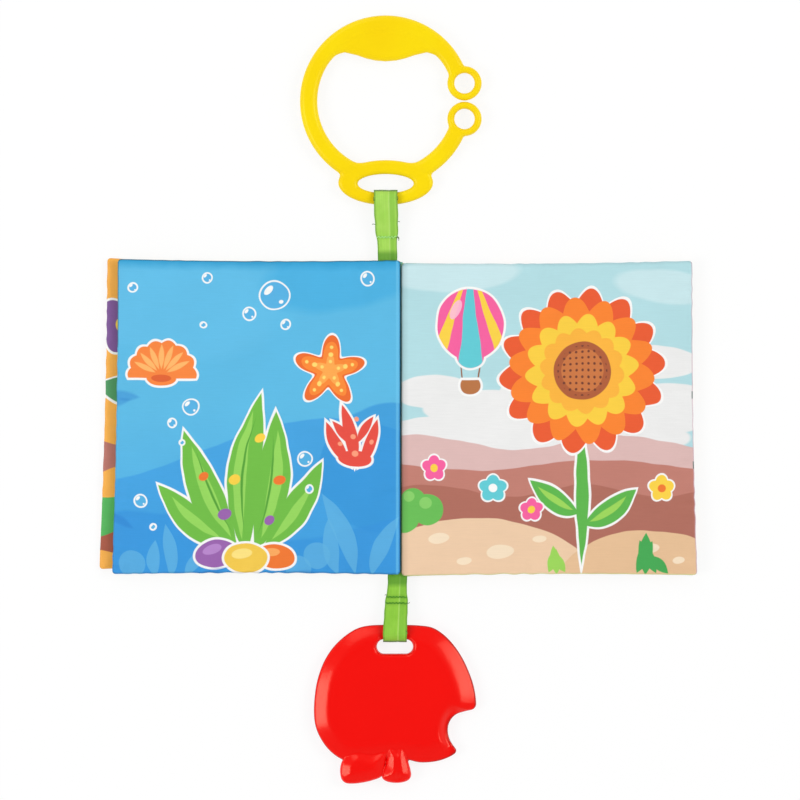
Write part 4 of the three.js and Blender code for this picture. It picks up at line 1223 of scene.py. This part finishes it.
def ribbon_width(ribbon, along):
    stitch = ribbon["stitches"][0]
    return np.interp(along, [0, stitch - 1.5, stitch + 1.5, ribbon["reach"]],
                     [RIBBON_ROOT_WIDTH, 9.7, 10.7, RIBBON_WIDTH])


def ribbon_middle(ribbon, along):
    return np.interp(along, [0, ribbon["reach"]], [ribbon["root_x"], ribbon["bar_x"]])


def ribbon_path(ribbon):
    """Along and height of the folded strip's middle, from one sewn end round the bar to the other."""
    radius = ribbon["loop"] - 0.3
    apart = ribbon["opens"] - ribbon["reach"]
    reach = math.hypot(apart, RIBBON_LAYER)
    angle = math.atan2(RIBBON_LAYER, apart) - math.acos(radius / reach)
    straight = [(-ribbon["inside"], -RIBBON_LAYER), (ribbon["opens"], -RIBBON_LAYER)]
    arc = [(ribbon["reach"] + radius * math.cos(t), radius * math.sin(t))
           for t in np.linspace(-angle, angle, 49)]
    return smooth_path(straight + arc + [(s, -z) for s, z in reversed(straight)], 181, 6)


def make_ribbon(name, ribbon, *parts):
    path, run = ribbon_path(ribbon)
    body, seed, sign = ribbon["body"], ribbon["seed"], ribbon["sign"]
    material = ribbon_material(f"{body}_weave", float(run[-1]) / 2, ribbon["inside"], *ribbon["colours"])
    normal = unit(np.gradient(path, axis=0)[:, ::-1] * (-1, 1))
    share = np.linspace(-0.5, 0.5, RIBBON_COLUMNS)
    s, z = path[:, :1], path[:, 1:]
    width = ribbon_width(ribbon, np.clip(s, 0, None))
    x = ribbon_middle(ribbon, np.clip(s, 0, None)) + share * width
    x = x + 0.09 * ripples(s, 0, 7, seed) * np.sign(share) * (np.abs(share) > 0.42)
    ridge = 0.15 * np.exp(-((share - 0.13) * width / 0.7) ** 2)
    fold = ridge - 0.1 * np.exp(-((share + 0.2) * width / 1.6) ** 2)
    gathers = (1 - rise(s - 1, 8)) * 0.17 * np.cos(TURN * 2.4 * share + 0.7)
    height = fold * (0.5 + 0.5 * rise(s, 12)) + gathers + 0.05 * ripples(share * 9, s, 12, seed + 3)
    flat = 1 - rise(s - ribbon["opens"] + 3, 5)
    layers = []
    for side in (1, -1):
        out = side * RIBBON_THICKNESS / 2 + height * (1 - flat) * 0.6
        layers.append(listed(x, ribbon["bend"] + sign * (s + normal[:, :1] * out),
                             ribbon["level"] + z + normal[:, 1:] * out + height * flat))
    map_points = listed(share * RIBBON_WIDTH, run[:, None])
    piece = build(name, np.concatenate(layers), sheet_faces(len(path), RIBBON_COLUMNS), material,
                  "green_ribbon", np.concatenate([map_points] * 2))
    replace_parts(piece, *parts)
    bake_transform(piece)


def on_ribbon(name, ribbon, strand, x, distance, material):
    """Build thread that rides on a ribbon, from points about a place on its middle."""
    points, faces = strand
    place = (x, ribbon["bend"] + ribbon["sign"] * distance, ribbon["level"])
    piece = build(name, points * (1, ribbon["sign"], 1) + place, faces, material, "thread")
    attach(piece, ribbon["body"])
    return piece


def make_stitches(name, node, ribbon, distance, swing, material):
    """One row: a zigzag over the ribbon, down at both ends and back underneath."""
    half = float(ribbon_width(ribbon, distance)) / 2 - STITCH_INSET
    level = RIBBON_LAYER + RIBBON_THICKNESS / 2 + 0.34
    points = [(-1.2, 0, -level), (-half, 0, -level), (-half - 0.35, 0, 0), (-half, -0.3, level)]
    points += [(half * (2 * k / STITCH_TURNS - 1), swing * (1 if k % 2 else -1), level + 0.05 * (k % 3))
               for k in range(1, STITCH_TURNS)]
    points += [(half, 0.2, level), (half + 0.35, 0, 0), (half, 0, -level), (1.2, 0, -level)]
    strand = tube(smooth_path(points, 150, 5)[0], 0.24, 8, 2, 1.1)
    middle = float(ribbon_middle(ribbon, distance))
    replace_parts(on_ribbon(name, ribbon, strand, middle, distance, material), node)


def make_frays(name, ribbon, material, *ends):
    """Loose yarn ends along a ribbon's sides: where each starts and its way out."""
    points, faces, start = [], [], 0
    for end in ends:
        strand, walls = tube(smooth_path(end, 18, 5)[0], 0.15, 6)
        points.append(strand)
        faces += [[index + start for index in face] for face in walls]
        start += len(strand)
    on_ribbon(name, ribbon, (np.concatenate(points), faces), 0, 0, material)


pale_thread = thread_material("head_thread_twist", rgb(150, 226, 100), rgb(196, 246, 160))
dark_thread = thread_material("foot_thread_twist", rgb(56, 132, 16), rgb(84, 160, 32))
fray_thread = thread_material("fray_yarn", rgb(66, 98, 44), rgb(92, 128, 62))
make_ribbon("head_ribbon_strip", HEAD, "head_ribbon_sewn_end", "head_ribbon_loop")
make_ribbon("foot_ribbon_strip", FOOT, "foot_ribbon_sewn_end", "foot_ribbon_loop")
make_stitches("head_stitch_row", "head_ribbon_stitch", HEAD, *HEAD["stitches"], 0.58, pale_thread)
for number, distance in enumerate(FOOT["stitches"], 1):
    make_stitches(f"foot_stitch_row_{number}", f"foot_ribbon_stitch_{number}", FOOT, distance, 0.4,
                  dark_thread)
make_frays("head_ribbon_frays", HEAD, fray_thread,
           [(-2.3, 8.7, 0.75), (-1.3, 8.9, 0.9), (-0.9, 8, 0.8), (-1.1, 6.9, 0.7)],
           [(-2.3, 8.4, 0.75), (-1.5, 8.6, 0.8), (-1, 7.5, 0.6)],
           [(-12.2, 14.6, 0.4), (-13, 14.9, 0.5), (-13.8, 14.7, 0.5)],
           [(-2, 15.7, 0.4), (-1.3, 16.1, 0.5), (-0.6, 15.9, 0.4)],
           [(-12.9, 25.6, 4.4), (-13.1, 26.6, 4.5), (-13, 27.6, 4.3)],
           [(-1.7, 26, 4.4), (-1.4, 27, 4.4), (-1.8, 27.9, 4.1)])
make_frays("foot_ribbon_frays", FOOT, fray_thread,
           [(2.9, 10, 0.75), (3.6, 10.3, 0.8), (4.1, 9.8, 0.7)],
           [(-6.7, 6.4, 0.5), (-7.3, 6.1, 0.6), (-7.7, 6.4, 0.5)],
           [(2.3, 23, 4.6), (2.9, 23.6, 4.6), (3, 24.6, 4.4)])

# Mouldings

FAR = 1e9  # farther than any place on a moulding lies from an outline


def moulded(field, low, high, cell, levels):
    """A flat outline cut from a grid where field is below zero: points with their depth, and faces."""
    x, y = np.meshgrid(np.arange(low[0], high[0] + cell, cell), np.arange(low[1], high[1] + cell, cell))
    depth = field(x, y)
    _, quads = grid_quads(*x.shape)
    near = (depth.ravel()[quads] < 0).any(axis=1)
    mesh = bpy.data.meshes.new("outline")
    mesh.from_pydata(listed(x, y, depth).tolist(), [], quads[near].tolist())
    work = bmesh.new()
    work.from_mesh(mesh)
    bpy.data.meshes.remove(mesh)
    bmesh.ops.delete(work, geom=[v for v in work.verts if not v.link_faces], context="VERTS")
    for level in (0, *levels):
        bmesh.ops.bisect_plane(work, geom=work.verts[:] + work.edges[:] + work.faces[:], dist=1e-6,
                               plane_co=(0, 0, -level), plane_no=(0, 0, 1), clear_outer=level == 0)
    bmesh.ops.remove_doubles(work, verts=work.verts[:], dist=0.02)
    work.verts.index_update()
    points = np.array([v.co[:] for v in work.verts])
    faces = [[v.index for v in face.verts] for face in work.faces]
    rim = {v.index for v in work.verts if v.is_boundary}
    work.free()
    return points, faces, rim


def two_sided(points, faces, rim, height):
    """Both halves of a moulding, joined at its rim."""
    depth = np.maximum(-points[:, 2], 0)
    z = height(points[:, 0], points[:, 1], depth)
    z[list(rim)] = 0
    top = np.stack([points[:, 0], points[:, 1], z], axis=-1)
    inner = [i for i in range(len(points)) if i not in rim]
    under = np.arange(len(points))
    under[inner] = len(points) + np.arange(len(inner))
    bottom = top[inner] * (1, 1, -1)
    back = [[int(under[i]) for i in reversed(face)] for face in faces]
    return np.concatenate([top, bottom]), faces + back


def smooth_min(a, b, k):
    share = np.clip(0.5 + 0.5 * (b - a) / k, 0, 1)
    return b + (a - b) * share - k * share * (1 - share)


def outline(shares, left, top, width, height, per_span=10):
    """A closed smooth curve through points that are given as shares of its box, from the top left."""
    knots = np.array([(left + a * width, top - b * height) for a, b in shares])
    curve = []
    for i in range(len(knots)):
        p0, p1, p2, p3 = (knots[(i + k) % len(knots)] for k in (-1, 0, 1, 2))
        d0, d1, d2 = (math.sqrt(max(np.linalg.norm(b - a), 1e-6)) for a, b in ((p0, p1), (p1, p2), (p2, p3)))
        m1 = ((p1 - p0) / d0 - (p2 - p0) / (d0 + d1) + (p2 - p1) / d1) * d1
        m2 = ((p2 - p1) / d1 - (p3 - p1) / (d1 + d2) + (p3 - p2) / d2) * d1
        for t in np.linspace(0, 1, per_span, endpoint=False):
            curve.append((2 * t ** 3 - 3 * t ** 2 + 1) * p1 + (t ** 3 - 2 * t ** 2 + t) * m1
                         + (3 * t ** 2 - 2 * t ** 3) * p2 + (t ** 3 - t ** 2) * m2)
    return np.array(curve)


def polygon_distance(curve, x, y):
    near = np.full(x.shape, FAR)
    inside = np.zeros(x.shape, dtype=bool)
    for (x0, y0), (x1, y1) in zip(curve, np.roll(curve, -1, axis=0)):
        if x0 == x1 and y0 == y1:
            continue
        near = np.minimum(near, to_segment(x, y, x0, y0, x1, y1)[0])
        if y0 != y1:
            crosses = ((y0 > y) != (y1 > y)) & (x < (x1 - x0) * (y - y0) / (y1 - y0) + x0)
            inside ^= crosses
    return np.where(inside, -near, near)


# Hang ring, about the middle of the bar that the ribbon goes round
RING_RADIUS = 36.7
BAND = 8.3
RING_HALF = 2.5
RING_MIDDLE = 46.65
LOOP_CENTRE = 38.5
LOOP_OUTER = 8.2
LOOP_HOLE = 4.8
GAP_HALF = 0.3  # between the two loops
GAP_FROM = 25  # how far to the right that gap starts
GRIP_FILLET = 1.2
EYELET_FILLET = 2.2
LOOP_FILLET = 0.9
LOOP_ANGLE = math.asin((LOOP_OUTER + GAP_HALF) / LOOP_CENTRE)
EYELET = (22.6, 10.7)
EYELET_HOLE = (13.3, 4.5)
EYELET_BAR = 5.7
grip_edge = [(-30.6, 15), (-27.6, 19), (-24, 21.9), (-19.6, 23.2), (-13.7, 21.8), (-9.4, 20.3), (-5, 19.3),
             (0, 18.9)]
grip_edge += [(-px, py) for px, py in reversed(grip_edge[:-1])]
GRIP_REACH = 39.4
GRIP_TURN = 0.52
GRIP = np.array(grip_edge + [(GRIP_REACH * math.cos(t), GRIP_REACH * math.sin(t))
                             for t in np.linspace(GRIP_TURN, math.pi - GRIP_TURN, 40)])


def oval_distance(x, y, wide, high):
    """Near enough the distance to an oval's edge, below zero inside."""
    share = np.hypot(x / wide, y / high)
    slope = np.maximum(np.hypot(x / wide ** 2, y / high ** 2), 1e-6)
    return share * (share - 1) / slope


def loop_distances(x, y):
    reach, rise_of_loop = LOOP_CENTRE * math.cos(LOOP_ANGLE), LOOP_CENTRE * math.sin(LOOP_ANGLE)
    return [np.hypot(x - reach, y - RING_MIDDLE - side * rise_of_loop) for side in (1, -1)]


def eyelet_distance(x, y):
    return oval_distance(x, y - (EYELET[1] - EYELET_BAR / 2), *EYELET)


def ring_field(x, y):
    up = y - RING_MIDDLE
    band = np.abs(np.hypot(x, up) - RING_RADIUS) - BAND / 2
    mouth = x * math.sin(LOOP_ANGLE) - np.abs(up) * math.cos(LOOP_ANGLE)
    band = np.maximum(band, np.where(x > 0, mouth, -BAND))
    body = smooth_min(band, polygon_distance(GRIP, x, up), GRIP_FILLET)
    body = smooth_min(body, eyelet_distance(x, y), EYELET_FILLET)
    loops = loop_distances(x, y)
    for apart in loops:
        body = smooth_min(body, apart - LOOP_OUTER, LOOP_FILLET)
    body = np.where(x > GAP_FROM, np.maximum(body, GAP_HALF - np.abs(up)), body)
    for apart in loops:
        body = np.maximum(body, LOOP_HOLE - apart)
    hole = oval_distance(x, y - EYELET_BAR / 2 - EYELET_HOLE[1], *EYELET_HOLE)
    return np.maximum(body, -hole)


def ring_height(x, y, depth):
    at_loop = 1 - rise(np.minimum(*loop_distances(x, y)) - LOOP_OUTER + 1, 4)
    in_eyelet = 1 - rise(eyelet_distance(x, y) + 2.5, 4)
    up = y - RING_MIDDLE
    in_grip = rise(up - 15, 9) * (1 - rise(np.hypot(x, up) - RING_RADIUS + BAND / 2 + 0.2, 2.4))
    run = 2.7 - 1.05 * at_loop - 0.3 * in_eyelet
    tall = RING_HALF - 0.35 * at_loop - 0.6 * in_eyelet * (1 - at_loop) - 0.3 * in_grip
    return tall * quarter(depth, run)


def make_moulding(name, field, height, area, ribbon, material, slot):
    """A moulding that hangs on a ribbon, about the middle of the bar that the ribbon goes round."""
    points, faces = two_sided(*moulded(field, *area), height)
    bar = (ribbon["bar_x"], ribbon["bend"] + ribbon["sign"] * ribbon["reach"], ribbon["level"])
    return build(name, points + bar, faces, material, slot)


ring = make_moulding("hang_ring_moulding", ring_field, ring_height,
                     ((-44, -4), (50, 90), 0.55, (0.03, 0.12, 0.3, 0.6, 1, 1.5, 2.1)),
                     HEAD, yellow_plastic(), "yellow_plastic")
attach(ring, "hang_ring")
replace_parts(ring, "hang_ring")

# Teether, about the middle of the bar that the ribbon goes round
TEETHER = (77.2, 65.4)
TEETHER_HALF = 3.25
TEETHER_BAR = 6.7
BAR_HALF = 2.3
SLOT_HALF = 3.35
SLOT_STRAIGHT = RIBBON_WIDTH / 2 + 2.85 - SLOT_HALF
APPLE_SHARES = ((0.342, 0.001), (0.5, -0.004), (0.655, 0.001), (0.73, 0.016), (0.795, 0.062),
                (0.858, 0.137), (0.913, 0.232), (0.957, 0.342), (0.986, 0.444), (1, 0.545), (0.999, 0.587),
                (0.984, 0.61), (0.936, 0.625), (0.88, 0.647), (0.848, 0.681), (0.829, 0.73), (0.827, 0.78),
                (0.837, 0.828), (0.858, 0.872), (0.878, 0.906), (0.875, 0.926), (0.855, 0.946),
                (0.795, 0.978), (0.724, 0.996), (0.65, 0.998), (0.586, 0.981), (0.5, 0.965), (0.36, 0.985),
                (0.25, 0.995), (0.172, 0.975), (0.128, 0.944), (0.087, 0.9), (0.052, 0.845), (0.023, 0.78),
                (0.006, 0.712), (0, 0.629), (0.004, 0.528), (0.016, 0.427), (0.037, 0.337), (0.067, 0.253),
                (0.107, 0.178), (0.153, 0.117), (0.208, 0.063), (0.27, 0.021))
LOBE_SHARES = ((1, 0), (0.88, 0.07), (0.75, 0.125), (0.62, 0.12), (0.5, 0.06), (0.38, 0.035), (0.26, 0.075),
               (0.13, 0.2), (0.045, 0.35), (0.005, 0.53), (0.005, 0.73), (0.04, 0.89), (0.12, 0.98),
               (0.28, 1), (0.5, 0.965), (0.7, 0.9), (0.88, 0.79), (0.96, 0.45))
STEM_SHARES = ((0.2, 0.12), (0.27, 0.03), (0.36, 0.02), (0.455, 0.085), (0.55, 0.02), (0.66, 0),
               (0.74, 0.04), (0.8, 0.15), (0.86, 0.3), (0.925, 0.48), (0.985, 0.67), (1, 0.8), (0.93, 0.91),
               (0.74, 0.98), (0.44, 1), (0.18, 0.965), (0.045, 0.9), (0, 0.805), (0.045, 0.68),
               (0.125, 0.52), (0.17, 0.32))
teether_left = -TEETHER[0] / 2
teether_top = TEETHER_BAR / 2
apple_curve = outline(APPLE_SHARES, teether_left, teether_top, *TEETHER)
whole_apple_curve = outline(APPLE_SHARES[:11] + APPLE_SHARES[21:], teether_left, teether_top, *TEETHER)
lobe_curve = outline(LOBE_SHARES, teether_left + 0.161 * TEETHER[0], teether_top - 0.897 * TEETHER[1], 22.5,
                     16.8)
stem_curve = outline(STEM_SHARES, teether_left + 0.418 * TEETHER[0], teether_top - 0.876 * TEETHER[1], 14.1,
                     17.8)
slot_middle = teether_top - TEETHER_BAR - SLOT_HALF


def slot_distance(x, y):
    return np.hypot(np.maximum(np.abs(x) - SLOT_STRAIGHT, 0), y - slot_middle) - SLOT_HALF


def teether_field(x, y):
    body = polygon_distance(apple_curve, x, y)
    body = np.minimum(body, polygon_distance(lobe_curve, x, y))
    body = np.minimum(body, polygon_distance(stem_curve, x, y))
    return np.maximum(body, -slot_distance(x, y))


BITE = (teether_left + 0.99 * TEETHER[0], teether_top - 0.765 * TEETHER[1])
BITE_STEEPNESS = 1.9  # how much sooner the apple's face levels out behind the bite than elsewhere
BITE_END_STEEPNESS = 1.6  # what is added to that at the bite's ends, to the right of BITE_ENDS
BITE_ENDS = 27
BITE_DISH = 12.5  # how far from the bite's middle its dish is still at full depth
DISH_END = 24  # how far to the right the dish reaches at full depth
TEETHER_RIM = 1.1  # the round at the teether's middle plane


def shoulder(distance, rim, rim_run, climb, climb_run):
    """A round rim and behind it an even slope that levels out."""
    share = np.clip(distance / climb_run, 0, 1)
    return rim * quarter(distance, rim_run) + climb * (1.25 * share - 0.25 * share ** 5)


def teether_height(x, y, depth):
    around = np.clip(-polygon_distance(apple_curve, x, y), 0, None)
    steepness = BITE_STEEPNESS + BITE_END_STEEPNESS * rise(x - BITE_ENDS, 8)
    around = np.minimum(steepness * around, np.maximum(-polygon_distance(whole_apple_curve, x, y), around))
    rightward = rise(x, 30)
    tall = shoulder(around, 0.9 - 0.35 * rightward, 1, 2.35 + 0.35 * rightward, 8.2 + 2.4 * rightward)
    bite = np.hypot(x - BITE[0], (y - BITE[1]) * 0.86)
    dish = (1 - rise(bite - BITE_DISH, 5)) * (1 - rise(x - DISH_END, 7))
    tall = tall - dish * (0.8 * rise(around, 4) + 0.2)
    tall = np.maximum(tall + 0.1 * ripples(x, y, 40, 17) * rise(around, 9) - 0.1, 0)
    lobe = -polygon_distance(lobe_curve, x, y)
    stem = -polygon_distance(stem_curve, x, y)
    lobe_tall = shoulder(lobe, 1.5, 1, 2.1, 6) * (lobe > 0)
    middle = teether_left + (0.515 + 0.01 * rise(-y - 60, 10)) * TEETHER[0]
    groove = np.exp(-((x - middle) / 1.3) ** 2) * rise(stem, 2.6)
    stem_tall = (shoulder(stem, 1.9, 1, 2.4, 6) - 0.5 * groove) * (stem > 0)
    tall = np.maximum(np.maximum(tall, lobe_tall), stem_tall)
    tall = tall * quarter(slot_distance(x, y), 1.8)
    at_bar = (1 - rise(np.abs(x) - 6, 2.6)) * (y > slot_middle)
    tall = tall + (np.minimum(tall, BAR_HALF) - tall) * at_bar
    rounded = np.minimum(tall, TEETHER_HALF * quarter(depth, TEETHER_RIM))
    return np.where(depth < TEETHER_RIM, rounded, tall)


teether = make_moulding("apple_teether_moulding", teether_field, teether_height,
                        ((-40, -80), (40, 5), 0.6, (0.03, 0.12, 0.3, 0.6, 1, 1.6, 2.4, 3.4)),
                        FOOT, red_plastic(), "red_plastic")
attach(teether, "teether")
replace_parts(teether, "apple_teether")
